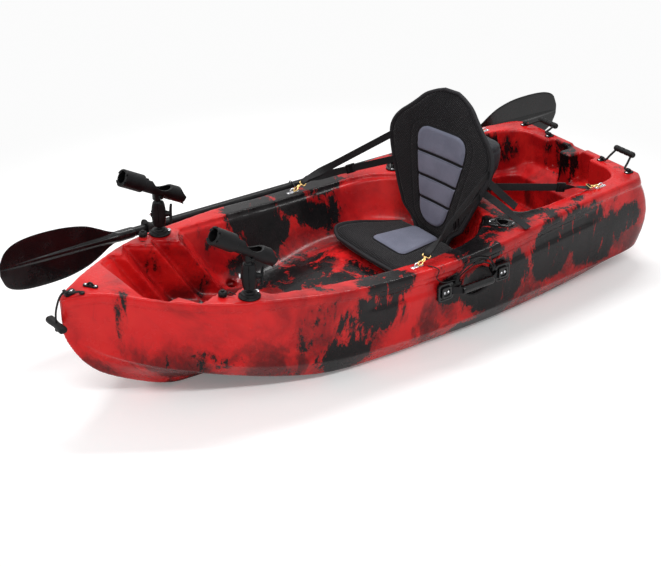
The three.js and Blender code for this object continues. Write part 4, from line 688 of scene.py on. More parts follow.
hull_red = new_material("hull_red")
t = hull_red.node_tree
powder_and_shade = add_node(t, "ShaderNodeAttribute", attribute_name="black_powder_and_shade").outputs["Fac"]
drift = mottle(t, 5.0, 6.0, 0.62, 1.5, (1.0, 1.0, 0.42))
lace = mottle(t, 20.0, 6.0, 0.70, 0.9, (1.0, 1.0, 0.30))
grit = mottle(t, 120.0, 5.0, 0.78, 0.0, (1.0, 1.0, 0.6))
dust = mottle(t, 600.0, 2.0, 0.6)
# The clouds' black, powder and painted shade alike, lies thick in the middle of a cloud, thins to smoke at
# its edge and has red drawn through it
laid = sums(t, "MULTIPLY", powder_and_shade, 1.05)
cloud = sums(t, "ADD", sums(t, "MULTIPLY_ADD", sums(t, "SUBTRACT", drift, 0.5), 2.5, laid),
    centred(t, lace, 1.3))
thick = ramp(t, cloud, 0.02, 0.80)
drawn = ramp(t, mottle(t, 15.0, 5.0, 0.66, 1.1, (1.0, 1.0, 0.26)), 0.54, 0.68, 0.0, 0.55)
thick = sums(t, "MULTIPLY", thick, sums(t, "SUBTRACT", 1.0, drawn))
grains = sums(t, "ADD", centred(t, grit, 1.5), centred(t, dust, 0.40))
black = ramp(t, sums(t, "ADD", thick, grains), 0.28, 0.66)
smoke = ramp(t, thick, 0.0, 0.80, 0.0, 0.55)
black = sums(t, "MAXIMUM", black, smoke)
loose = ramp(t, sums(t, "MULTIPLY_ADD", mottle(t, 9.0, 4.0, 0.6), 0.35, grit), 0.90, 0.95, 0.0, 0.8)
black = sums(t, "MAXIMUM", black, loose)
# Painted shade: a brown-black haze, broken up by noise and grit, darkens the hull towards the bottom from
# about 0.31 m down to 0.10 m, so the lower sides and the deep floors read darker
place = add_node(t, "ShaderNodeTexCoord").outputs["Object"]
height = add_node(t, "ShaderNodeSeparateXYZ", {0: place}).outputs["Z"]
low = ramp(t, height, 0.31, 0.10)
low_painted_shade = ramp(t, mottle(t, 6.0, 6.0, 0.62, 1.2, (1.0, 1.0, 0.5)), 0.36, 0.60, 0.0, 0.95)
low_painted_shade = sums(t, "MULTIPLY", low_painted_shade, low)
low_painted_shade = ramp(t, sums(t, "MULTIPLY_ADD", sums(t, "SUBTRACT", grit, 0.5), 0.9, low_painted_shade), 0.10, 1.05, 0.0, 0.80)
black = sums(t, "MAXIMUM", black, low_painted_shade)
deep = ramp(t, mottle(t, 4.2, 5.0, 0.62, 0.8), 0.40, 0.66)
warm = ramp(t, mottle(t, 11.0, 3.0, 0.6, 0.2), 0.45, 0.70, 0.0, 0.5)
red = blend_colours(t, deep, (0.58, 0.012, 0.013, 1), (0.30, 0.005, 0.007, 1))
red = blend_colours(t, warm, red, (0.62, 0.020, 0.017, 1))
ink = blend_colours(t, ramp(t, lace, 0.35, 0.75), (0.0032, 0.0030, 0.0034, 1), (0.0100, 0.0065, 0.0075, 1))
skin = skin_on(t, 620.0, 0.00012, 18.0, 0.0010, 0.20, 0.14)
shade(hull_red, {"Base Color": blend_colours(t, black, red, ink), "Roughness": skin.outputs["Roughness"],
    "Normal": skin.outputs["Normal"], "Specular IOR Level": 0.19})
hull_mesh.materials.clear()
hull_mesh.materials.append(hull_red)
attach(hull, "kayak")
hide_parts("hull")

# Seat: a cushion and a backrest of foam between black spacer mesh, with smooth grey panels
# stitched over the middle and a piped edge all round. The cushion lies in the moulded pan.
gap = 0.0003  # between pieces that are made to move or that lie on each other
seat_floor, seat_front, seat_back, cushion_half, cushion_thick = 0.150, 0.046, 0.298, 0.203, 0.040
cushion_shares = [
    (0, 0.74, 0.4), (0.04, 0.9, 0.4), (0.1, 0.985, 0.4), (0.19, 1, 0.4), (0.28, 0.99, 0.4),
    (0.3, 0.985, 0.4), (0.42, 0.955, 0.385), (0.56, 0.9, 0.362), (0.7, 0.83, 0.34),
    (0.84, 0.75, 0.318), (0.96, 0.68, 0.3), (0.98, 0.665, 0.298), (1, 0.6, 0.295),
]
back_foot, back_height, back_lean, back_half, back_thick = (0.299, 0.180), 0.472, 6.6, 0.219, 0.034
back_wing, back_twist, sewn_edge = 0.024, 10, 0.35
back_shares = [
    (-0.062, 0.36, 0.20), (-0.04, 0.37, 0.21), (0, 0.38, 0.22), (0.03, 0.41, 0.225), (0.066, 0.47, 0.235),
    (0.13, 0.635, 0.265), (0.18, 0.69, 0.29), (0.238, 0.75, 0.315), (0.31, 0.81, 0.35), (0.39, 0.88, 0.385),
    (0.47, 0.94, 0.42), (0.553, 0.985, 0.45), (0.62, 1, 0.465), (0.67, 0.98, 0.47), (0.73, 0.91, 0.47),
    (0.78, 0.81, 0.40), (0.83, 0.68, 0.30), (0.88, 0.56, 0.20), (0.94, 0.42, 0.10), (0.98, 0.25, 0.06),
    (1, 0.12, 0.03),
]
back_channels = (0.238, 0.39, 0.553)
back_pad, cushion_pad = (0.07, 0.735), (0.29, 0.97)  # where the grey panels start and end


def back_point(y, lift, t, w):
    """A point of the backrest, which leans aft, wings forward and is drawn round a little by its straps."""
    turn = math.radians(back_twist * t)
    out = lift + back_wing * abs(y / w) ** 2.4 * min(1, w / (back_half * 0.8))
    z = back_height * t
    return (back_foot[0] + back_thick / 2 - out * math.cos(turn) - y * math.sin(turn)
        + z * math.tan(math.radians(back_lean)), y * math.cos(turn) - out * math.sin(turn),
        back_foot[1] + z)


def cushion_point(y, lift, t, w):
    return (seat_front + (seat_back - seat_front) * t, y,
            seat_floor + gap + cushion_thick / 2 + lift + 0.024 * abs(y / cushion_half) ** 5)


def sewn_pad(rows, half, thick, length, pad, channels, place, corner, step=0.0032):
    """Front, edge and back of a foam pad. Relief comes from how far a point is from the grey field's
    outline and from the sewn channels, and both distances are kept for the cloth to take its colour from."""
    columns = 2 * round(half / step)
    low, high = rows[0][0], rows[-1][0]
    lengths = round((high - low) * length / step)
    spread = [math.sin(math.pi / 2 * (2 * j / columns - 1)) * 0.35 + (2 * j / columns - 1) * 0.65
        for j in range(columns + 1)]
    points, facts = [], []
    for i in range(lengths + 1):
        t = low + (high - low) * i / lengths
        share, grey = row_at(rows, t)
        w, g = half * share, half * grey
        ends = max(sewn_edge, 1 - abs(2 * min(max(t, 0), 1) - 1) ** 14)
        for back in (False, True):
            for s in spread:
                y = s * w
                fill = (sewn_edge + (1 - sewn_edge) * (1 - abs(s) ** 5)) * ends
                aside, ahead = g - abs(y), min((t - pad[0]) * length, (pad[1] - t) * length)
                inside = min(aside, ahead)
                if aside < corner and ahead < corner:
                    inside = corner - math.hypot(corner - aside, corner - ahead)
                off = min([abs(t - c) * length for c in channels] or [1])
                rumple = 0.0011 * noise.noise((y * 21, t * length * 17, 3.1 + back))
                rumple *= min(1, (w - abs(y)) / 0.03)
                if back:
                    lift = -thick / 2 * fill - rumple
                else:
                    lift = thick / 2 * fill + rumple * (0.35 if inside > 0 else 1)
                    lift += (0.0052 * smooth(inside, -0.004, 0.010)
                        - 0.0022 * math.exp(-((inside + 0.001) / 0.0026) ** 2))
                    if inside > -0.002:
                        lift += (0.0022 * (1 - math.exp(-off / 0.012))
                            - 0.0056 * math.exp(-((off / 0.0042) ** 2)))
                    rim = w - abs(y)
                    lift -= 0.0016 * math.exp(-((inside + 0.030) / 0.0022) ** 2) * (1 if channels else 0)
                    lift -= 0.0022 * math.exp(-((rim - 0.014) / 0.0028) ** 2)
                points.append(place(y, lift, t, w))
                facts.append((y, t * length, 0.0 if back else inside, off, -1.0 if back else rim))
    n = columns + 1
    faces = []
    for i in range(lengths):
        a, b = i * 2 * n, (i + 1) * 2 * n
        for j in range(columns):
            faces.append((a + j, a + j + 1, b + j + 1, b + j))
            faces.append((a + n + j + 1, a + n + j, b + n + j, b + n + j + 1))
        faces.append((a, b, b + n, a + n))
        faces.append((a + n - 1, a + 2 * n - 1, b + 2 * n - 1, b + n - 1))
    for i, back in ((0, False), (lengths, True)):
        a = i * 2 * n
        for j in range(columns):
            face = (a + j, a + n + j, a + n + j + 1, a + j + 1)
            faces.append(face[::-1] if back else face)
    mesh = bpy.data.meshes.new("pad")
    mesh.from_pydata(points, [], faces)
    names = ("inside_grey", "off_channel", "from_rim")
    for k, name in enumerate(names):
        layer = mesh.attributes.new(name, "FLOAT", "POINT")
        layer.data.foreach_set("value", np.array([f[2 + k] for f in facts], np.float32))
    uv = mesh.uv_layers.new(name="UVMap")
    corner = np.empty(len(mesh.loops), int)
    mesh.loops.foreach_get("vertex_index", corner)
    flat = np.array([f[:2] for f in facts])[corner]
    uv.data.foreach_set("uv", flat.astype(np.float32).ravel())
    faced_out(mesh)
    mesh.shade_smooth()
    return mesh


# Spacer mesh: raised knit in a honeycomb with small holes, measured along the cloth. The seat cloth uses the
# Holes mask to paint shade into them
spacer_knit, given, made = new_group(
    "spacer_knit", [("Pitch", "NodeSocketFloat", 0.005)],
    [("Height", "NodeSocketFloat"), ("Holes", "NodeSocketFloat")])
g = spacer_knit
cloth_place = add_node(g, "ShaderNodeUVMap", uv_map="UVMap").outputs[0]
wave_count = sums(g, "DIVIDE", 4 * math.pi / math.sqrt(3), given.outputs["Pitch"])
heights = None
for turn in (90, 210, 330):
    along = add_node(g, "ShaderNodeVectorMath", {0: cloth_place,
        1: (math.cos(math.radians(turn)), math.sin(math.radians(turn)), 0)},
        operation="DOT_PRODUCT").outputs["Value"]
    ripple = sums(g, "COSINE", sums(g, "MULTIPLY", along, wave_count))
    heights = ripple if heights is None else sums(g, "ADD", heights, ripple)
g.links.new(ramp(g, heights, -1.5, 2.6, 1.0, 0.0), made.inputs["Height"])
g.links.new(ramp(g, heights, 0.9, 2.2), made.inputs["Holes"])

# Twill and knit threads in two directions, measured along the cloth
woven_threads, given, made = new_group("woven_threads",
    [("Across", "NodeSocketFloat", 0.0012), ("Along", "NodeSocketFloat", 0.0012),
    ("Slant", "NodeSocketFloat", 0.0)], [("Height", "NodeSocketFloat"), ("Fuzz", "NodeSocketFloat")])
g = woven_threads
cloth_place = add_node(g, "ShaderNodeUVMap", uv_map="UVMap").outputs[0]
parts = add_node(g, "ShaderNodeSeparateXYZ", {0: cloth_place})
u = sums(g, "MULTIPLY_ADD", parts.outputs["Y"], given.outputs["Slant"], parts.outputs["X"])
first = sums(g, "SINE", sums(g, "MULTIPLY", sums(g, "DIVIDE", u, given.outputs["Across"]), 2 * math.pi))
second = sums(g, "SINE", sums(g, "MULTIPLY", sums(g, "DIVIDE", parts.outputs["Y"],
    given.outputs["Along"]), 2 * math.pi))
g.links.new(ramp(g, sums(g, "MULTIPLY", first, second), -1.0, 1.0), made.inputs["Height"])
fuzz = add_node(g, "ShaderNodeTexNoise", {"Vector": cloth_place, "Scale": 700.0, "Detail": 3.0})
g.links.new(fuzz.outputs["Fac"], made.inputs["Fuzz"])

seat_cloth = new_material("seat_cloth")
t = seat_cloth.node_tree
inside = add_node(t, "ShaderNodeAttribute", attribute_name="inside_grey").outputs["Fac"]
off = add_node(t, "ShaderNodeAttribute", attribute_name="off_channel").outputs["Fac"]
rim = add_node(t, "ShaderNodeAttribute", attribute_name="from_rim").outputs["Fac"]
grey_field = sums(t, "MULTIPLY", ramp(t, inside, 0.0006, 0.0014), ramp(t, off, 0.0036, 0.0046))
knit = filled(t, spacer_knit, {"Pitch": 0.0062})
threads = filled(t, woven_threads, {"Across": 0.0011, "Along": 0.0011})
open_mesh = sums(t, "MULTIPLY", ramp(t, rim, 0.0135, 0.0150),
    ramp(t, sums(t, "MULTIPLY", inside, -1.0), 0.0055, 0.0065))
drift = mottle(t, 9.0, 4.0, 0.6)
grey = blend_colours(t, ramp(t, drift, 0.3, 0.7), (0.135, 0.145, 0.195, 1), (0.185, 0.195, 0.255, 1))
grey = blend_colours(t, ramp(t, threads.outputs["Fuzz"], 0.35, 0.7, 0.0, 0.3), grey,
    (0.10, 0.108, 0.150, 1))
# Painted shade: the black spacer mesh is much darker in its holes than on its raised knit
black_cloth = blend_colours(t, sums(t, "MULTIPLY", open_mesh, knit.outputs["Holes"]),
    (0.0085, 0.0083, 0.0096, 1), (0.0018, 0.0018, 0.0022, 1))
black_cloth = blend_colours(t, ramp(t, threads.outputs["Fuzz"], 0.45, 0.75, 0.0, 0.5), black_cloth,
    (0.0165, 0.0160, 0.0185, 1))
relief = sums(t, "MULTIPLY", sums(t, "MULTIPLY", knit.outputs["Height"], open_mesh), 0.0014)
relief = sums(t, "MULTIPLY_ADD", threads.outputs["Height"], 0.00012, relief)
relief = sums(t, "MULTIPLY_ADD", threads.outputs["Fuzz"], 0.00025, relief)
bump = raised(t, relief)
shade(seat_cloth, {"Specular IOR Level": 0.12, "Base Color": blend_colours(t, grey_field, black_cloth,
    grey), "Roughness": ramp(t, grey_field, 0.0, 1.0, 0.86, 0.62), "Normal": bump, "Sheen Weight": 0.12,
    "Sheen Roughness": 0.4})

cushion = put_object("seat_cushion_cover", sewn_pad(cushion_shares, cushion_half, cushion_thick,
    seat_back - seat_front, cushion_pad, (), cushion_point, 0.022))
backrest = put_object("backrest_cover", sewn_pad(
    back_shares, back_half, back_thick, back_height, back_pad, back_channels, back_point, 0.045))
for cover, body, node in ((cushion, "kayak", "seat_cushion"), (backrest, "backrest_body", "seat_backrest")):
    cover.data.materials.append(seat_cloth)
    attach(cover, body)
    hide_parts(node)


def curve_points(points, count, closed=False):
    """Points along one smooth curve through the given ones, evenly told in its own parameter."""
    given_points = [Vector(p) for p in points]
    last = len(given_points) - 1
    out = []
    for i in range(count + (0 if closed else 1)):
        if closed:
            p = (last + 1) * i / count
            k = int(p)
            p0, p1, p2, p3 = (given_points[(k + d) % (last + 1)] for d in (-1, 0, 1, 2))
        else:
            p = last * i / count
            k = min(int(p), last - 1)
            p1, p2 = given_points[k], given_points[k + 1]
            p0 = given_points[k - 1] if k else 2 * p1 - p2
            p3 = given_points[k + 2] if k + 2 <= last else 2 * p2 - p1
        w = p - k
        d0, d1, d2 = (max((b - a).length ** 0.5, 1e-4) for a, b in ((p0, p1), (p1, p2), (p2, p3)))
        t1 = ((p1 - p0) / d0 - (p2 - p0) / (d0 + d1) + (p2 - p1) / d1) * d1
        t2 = ((p2 - p1) / d1 - (p3 - p1) / (d1 + d2) + (p3 - p2) / d2) * d1
        out.append(p1 + t1 * w + (-3 * p1 + 3 * p2 - 2 * t1 - t2) * w * w
            + (2 * p1 - 2 * p2 + t1 + t2) * w ** 3)
    return out


def new_tree(name, inputs):
    """An empty geometry node tree with a geometry in and out and the named inputs (name, kind, default)."""
    tree = bpy.data.node_groups.new(name, "GeometryNodeTree")
    tree.is_modifier = True
    tree.interface.new_socket("Geometry", in_out="INPUT", socket_type="NodeSocketGeometry")
    for key, kind, *value in inputs:
        socket = tree.interface.new_socket(key, in_out="INPUT", socket_type=kind)
        if value:
            socket.default_value = value[0]
    tree.interface.new_socket("Geometry", in_out="OUTPUT", socket_type="NodeSocketGeometry")
    return tree, add_node(tree, "NodeGroupInput"), add_node(tree, "NodeGroupOutput")


def grown(obj, tree, values):
    """The plain mesh that a geometry node tree makes from an object, which is then taken away."""
    modifier = obj.modifiers.new("grown", "NODES")
    modifier.node_group = tree
    for item in tree.interface.items_tree:
        if item.item_type == "SOCKET" and item.in_out == "INPUT" and item.name in values:
            modifier[item.identifier] = values[item.name]
    return baked(obj)


def path_object(points, closed=False):
    curve = bpy.data.curves.new("path", "CURVE")
    curve.dimensions = "3D"
    spline = curve.splines.new("POLY")
    spline.points.add(len(points) - 1)
    for at, p in zip(spline.points, points):
        at.co = (*p, 1)
    spline.use_cyclic_u = closed
    return put_object("path", curve)


# Round stock along a path: piping, cord, wire and bent bar. Its cloth map runs along and around.
round_stock, given, made = new_tree("round_stock",
    [("Radius", "NodeSocketFloat", 0.003), ("Sides", "NodeSocketInt", 12),
    ("Material", "NodeSocketMaterial")])
g = round_stock
circle = add_node(g, "GeometryNodeCurvePrimitiveCircle",
    {"Resolution": given.outputs["Sides"], "Radius": given.outputs["Radius"]})
way = add_node(g, "GeometryNodeSplineParameter")
kept_way = g.nodes.new("GeometryNodeCaptureAttribute")
kept_way.capture_items.new("FLOAT", "Length")
g.links.new(given.outputs["Geometry"], kept_way.inputs["Geometry"])
g.links.new(way.outputs["Length"], kept_way.inputs[1])
round_way = g.nodes.new("GeometryNodeCaptureAttribute")
round_way.capture_items.new("FLOAT", "Length")
g.links.new(circle.outputs[0], round_way.inputs["Geometry"])
g.links.new(way.outputs["Length"], round_way.inputs[1])
swept = add_node(g, "GeometryNodeCurveToMesh", {"Curve": kept_way.outputs["Geometry"],
    "Profile Curve": round_way.outputs["Geometry"], "Fill Caps": True})
flat = add_node(g, "ShaderNodeCombineXYZ", {"X": round_way.outputs[1], "Y": kept_way.outputs[1]})
mapped = add_node(g, "GeometryNodeStoreNamedAttribute",
    {"Geometry": swept.outputs[0], "Name": "UVMap", "Value": flat.outputs[0]}, data_type="FLOAT2",
    domain="CORNER")
real = add_node(g, "GeometryNodeRealizeInstances", {"Geometry": mapped.outputs[0]})
painted = add_node(g, "GeometryNodeSetMaterial",
    {"Geometry": real.outputs[0], "Material": given.outputs["Material"]})
g.links.new(painted.outputs[0], made.inputs["Geometry"])


def stock(points, radius, material, sides=14, closed=False):
    mesh = grown(path_object(points, closed), round_stock,
        {"Radius": radius, "Sides": sides, "Material": material})
    mesh.shade_smooth()
    return mesh


# Stitches: short threads laid end to end along a seam
seam_stitches, given, made = new_tree("seam_stitches",
    [("Pitch", "NodeSocketFloat", 0.005), ("Thread", "NodeSocketFloat", 0.0006),
    ("Material", "NodeSocketMaterial")])
g = seam_stitches
spaced = add_node(g, "GeometryNodeResampleCurve",
    {"Curve": given.outputs["Geometry"], "Length": given.outputs["Pitch"]}, mode="LENGTH")
heading = add_node(g, "GeometryNodeInputTangent")
turn_to = add_node(g, "FunctionNodeAlignRotationToVector", {"Vector": heading.outputs[0]}, axis="Z")
thread = add_node(g, "GeometryNodeMeshCylinder",
    {"Vertices": 6, "Radius": given.outputs["Thread"],
    "Depth": sums(g, "MULTIPLY", given.outputs["Pitch"], 0.66)})
laid = add_node(g, "GeometryNodeInstanceOnPoints",
    {"Points": spaced.outputs[0], "Instance": thread.outputs[0], "Rotation": turn_to.outputs[0]})
real = add_node(g, "GeometryNodeRealizeInstances", {"Geometry": laid.outputs[0]})
painted = add_node(g, "GeometryNodeSetMaterial",
    {"Geometry": real.outputs[0], "Material": given.outputs["Material"]})
g.links.new(painted.outputs[0], made.inputs["Geometry"])


def stitched(points, pitch, thread, material):
    return grown(path_object(points), seam_stitches,
        {"Pitch": pitch, "Thread": thread, "Material": material})


def woven(name, weave, relief, gloss, rough, colour):
    """Cloth, webbing or braid from its threads' sizes and slant, and the height of threads and fuzz."""
    made = new_material(name)
    t = made.node_tree
    threads = filled(t, woven_threads, dict(zip(("Across", "Along", "Slant"), weave)))
    high, fuzz = threads.outputs["Height"], threads.outputs["Fuzz"]
    height = sums(t, "MULTIPLY_ADD", high, relief[0], sums(t, "MULTIPLY", fuzz, relief[1]))
    shade(made, {"Specular IOR Level": gloss, "Base Color": colour(t, high, fuzz),
        "Roughness": ramp(t, fuzz, 0.2, 0.8, *rough), "Normal": raised(t, height)})
    return made


piping_cloth = woven("piping_cloth", (0.0010, 0.0010, 0.5), (0.00010, 0.0002), 0.15, (0.5, 0.75),
    lambda t, high, fuzz: blend_colours(t, fuzz, (0.010, 0.010, 0.011, 1), (0.024, 0.024, 0.027, 1)))


def rim_path(rows, half, place, from_t, to_t, inset, lift, count):
    """Round the free edge of a pad: up one side, over the end and down the other."""
    one = []
    for i in range(count + 1):
        t = from_t + (to_t - from_t) * i / count
        w = half * row_at(rows, t)[0]
        one.append((t, w))
    other = [place(-max(w - inset, 0), lift, t, w) for t, w in one]
    return [place(max(w - inset, 0), lift, t, w) for t, w in one] + other[::-1]


back_piping = stock(rim_path(back_shares, back_half, back_point, -0.03, 0.999, 0.001, 0.0015, 120),
    0.0058, piping_cloth)
cushion_rim = rim_path(cushion_shares, cushion_half, cushion_point, 0.97, 0.006, 0.001, 0.002, 60)
cushion_piping = stock(curve_points(cushion_rim, 240), 0.0055, piping_cloth)
grey_seams = []
for rows, half, place, length, pad, channels in (
        (back_shares, back_half, back_point, back_height, back_pad, back_channels),
        (cushion_shares, cushion_half, cushion_point, seat_back - seat_front, cushion_pad, ())):
    thick = back_thick if rows is back_shares else cushion_thick
    lines = []
    for c in channels:
        for off in (-0.0062, 0.0062):
            t = c + off / length
            w, g_half = (half * v for v in row_at(rows, t))
            lines.append([place(y, thick / 2 * (sewn_edge + (1 - sewn_edge) * (1 - abs(y / w) ** 5))
                + 0.0062, t, w) for y in np.linspace(-(g_half - 0.006), g_half - 0.006, 20)])
    grey_seams.append([stitched(line, 0.0042, 0.00045, piping_cloth) for line in lines])

for name, mesh, body in (("backrest_piping", back_piping, "backrest_body"),
        ("cushion_piping", cushion_piping, "kayak"),
        ("backrest_stitches", joined(*grey_seams[0]), "backrest_body")):
    trim = put_object(name, mesh)
    if not mesh.materials:
        mesh.materials.append(piping_cloth)
    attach(trim, body)

# Pouch: a zipped bag of coated cloth sewn to the back of the backrest. It is lofted from its
# sections and hangs a little slack, with soft folds and a drawn-in line at the zip.
pouch_width, pouch_from, pouch_to, pouch_out = 0.272, 0.31, 0.68, 0.132
pouch_shares = [(0, 0.92, 0.5), (0.06, 0.96, 0.66), (0.2, 0.99, 0.82), (0.5, 1, 1), (0.8, 0.99, 1),
    (0.94, 0.96, 0.86), (1, 0.92, 0.66)]


def pouch_point(across, out, t):
    wide, deep = row_at(pouch_shares, t)
    return back_point(across * wide * pouch_width / 2, 0.003 - back_thick / 2 - out * deep * pouch_out,
        pouch_from + (pouch_to - pouch_from) * t, back_half)


rings = []
section = []
for i in range(49):
    a = math.pi * i / 48
    across, out = math.cos(a), math.sin(a)
    section.append((bulged(across, 0.32), max(out, 0) ** 0.42))
for i in range(61):
    t = i / 60
    close = 1 - 0.25 * max(0, abs(2 * t - 1) - 0.82) / 0.18
    rings.append([pouch_point(a * close, o * close * 0.98, t) for a, o in section])
pouch_mesh = loft(rings)
pouch_mesh = worked(pouch_mesh, ("REMESH", {"mode": "VOXEL",
    "voxel_size": 0.005}), ("SMOOTH", {"factor": 0.5, "iterations": 4}))
shape = bmesh.new()
shape.from_mesh(pouch_mesh)
shape.normal_update()
for v in shape.verts:
    folds = noise.noise(v.co * 14) * 0.0050 + noise.noise(v.co * 38 + Vector((4, 1, 7))) * 0.0022
    height = (v.co.z - back_foot[1]) / back_height
    zip_line = math.exp(-((height - 0.615) * back_height / 0.0035) ** 2) * 0.003
    v.co += v.normal * (min(0, folds) + folds * 0.3 - zip_line)
shape.to_mesh(pouch_mesh)
shape.free()
pouch_mesh.shade_smooth()
coated_cloth = new_material("coated_cloth")
t = coated_cloth.node_tree
creases = mottle(t, 55.0, 5.0, 0.65, 1.2)
fuzz = mottle(t, 900.0, 2.0)
height = sums(t, "MULTIPLY_ADD", creases, 0.0022, sums(t, "MULTIPLY", fuzz, 0.0003))
bump = raised(t, height)
# Painted shade: the cloth's colour is darker where its crease height is low, in the folds
shade(coated_cloth, {"Specular IOR Level": 0.18,
    "Base Color": blend_colours(t, creases, (0.008, 0.008, 0.010, 1), (0.030, 0.032, 0.038, 1)),
    "Roughness": ramp(t, creases, 0.3, 0.7, 0.42, 0.66), "Normal": bump})
pouch = put_object("pouch_bag", pouch_mesh)
pouch_mesh.materials.clear()
pouch_mesh.materials.append(coated_cloth)
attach(pouch, "backrest_body")
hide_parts("seat_pouch")

# Rod holders: black glass-filled nylon. A stepped round base is screwed to the deck and carries
# a ball; a two-shell arm clamps that ball and the cradle's with one bolt and a wing knob. The
# cradle is a tube with a reel saddle, and a locking collar turns round its mouth.
ball_radius, low_ball, high_ball, neck_radius, bolt_radius = 0.0127, 0.032, 0.098, 0.007, 0.0032
arm_half, arm_turn = (0.0215, 0.0155), -35
tube_length, tube_outer, tube_bore, tube_rise = 0.228, 0.0215, 0.017, 0.050
tube_pitch = {"port": 33, "starboard": 29}
collar_outer, collar_length = 0.0265, 0.074


def moulded(name, feel, plain, scuffed, gloss, more=None):
    """Black moulded plastic or rubber, a little paler where it is scuffed."""
    made = new_material(name)
    skin = skin_on(made.node_tree, *feel)
    colour = blend_colours(made.node_tree, skin.outputs["Scuffs"], plain, scuffed)
    shade(made, {"Specular IOR Level": gloss, "Base Color": colour,
        "Roughness": skin.outputs["Roughness"], "Normal": skin.outputs["Normal"], **(more or {})})
    return made


nylon = moulded("glass_filled_nylon", (1100.0, 0.00022, 60.0, 0.00012, 0.40, 0.18),
    (0.0030, 0.0031, 0.0035, 1), (0.0080, 0.0082, 0.0092, 1), 0.16)
bright_steel = new_material("bright_steel")
t = bright_steel.node_tree
brushed = mottle(t, 260.0, 4.0, 0.6, 0.0, (1.0, 1.0, 6.0))
bump = raised(t, brushed, 0.3, 0.0004)
shade(bright_steel, {"Base Color": blend_colours(t, brushed, (0.50, 0.51, 0.53, 1),
    (0.78, 0.78, 0.80, 1)), "Metallic": 1.0, "Roughness": ramp(t, brushed, 0.3, 0.7, 0.16, 0.34),
    "Normal": bump})

# Pan-head screw with a cross recess, set by a tree wherever a piece is screwed down
head = worked(turned([(0, 0), (0.0040, 0), (0.0040, 0.0006), (0.0036, 0.0016), (0.0026, 0.0023),
    (0.0012, 0.0026), (0, 0.0027)], 24), cut(lay(box_shape(0.0044, 0.0009, 0.0030), 0, 0, 0.0028)),
    cut(lay(box_shape(0.0009, 0.0044, 0.0030), 0, 0, 0.0028)))
head.shade_smooth()
head.set_sharp_from_angle(angle=math.radians(32))
screw_head = put_object("screw_head", head)
screw_head.hide_render = True
set_screws, given, made = new_tree("set_screws", [
    ("Head", "NodeSocketObject"), ("Size", "NodeSocketFloat", 1.0), ("Material", "NodeSocketMaterial")])
g = set_screws
one = add_node(g, "GeometryNodeObjectInfo", {"Object": given.outputs["Head"]}, transform_space="ORIGINAL")
set_in = add_node(g, "GeometryNodeInstanceOnPoints",
    {"Points": given.outputs["Geometry"], "Instance": one.outputs["Geometry"],
    "Scale": given.outputs["Size"]})
real = add_node(g, "GeometryNodeRealizeInstances", {"Geometry": set_in.outputs[0]})
painted = add_node(g, "GeometryNodeSetMaterial",
    {"Geometry": real.outputs[0], "Material": given.outputs["Material"]})
g.links.new(painted.outputs[0], made.inputs["Geometry"])


def screws(places, material, size=1.0):
    """Upright screw heads at points, as one mesh."""
    points = bpy.data.meshes.new("screw_places")
    points.from_pydata(places, [], [])
    return grown(put_object("screw_places", points), set_screws,
        {"Head": screw_head, "Size": size, "Material": material})


def dressed(name, mesh, body, nodes=(), material=None, sharp=35):
    """The mesh as a finished piece that rides on a body and stands for the given nodes."""
    if material:
        mesh.materials.clear()
        mesh.materials.append(material)
        mesh.polygons.foreach_set("material_index", [0] * len(mesh.polygons))
    if sharp:
        mesh.shade_smooth()
        mesh.set_sharp_from_angle(angle=math.radians(sharp))
    obj = put_object(name, mesh)
    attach(obj, body)
    if nodes:
        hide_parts(*nodes)
    return obj


def painted_with(mesh, material):
    mesh.materials.clear()
    mesh.materials.append(material)
    return mesh


def joined_painted(*pairs):
    """Meshes with their own materials as one mesh that keeps them."""
    objects = [put_object("part", painted_with(mesh, material)) for mesh, material in pairs]
    with bpy.context.temp_override(active_object=objects[0], selected_editable_objects=objects):
        bpy.ops.object.join()
    whole = objects[0].data
    bpy.data.objects.remove(objects[0])
    return whole


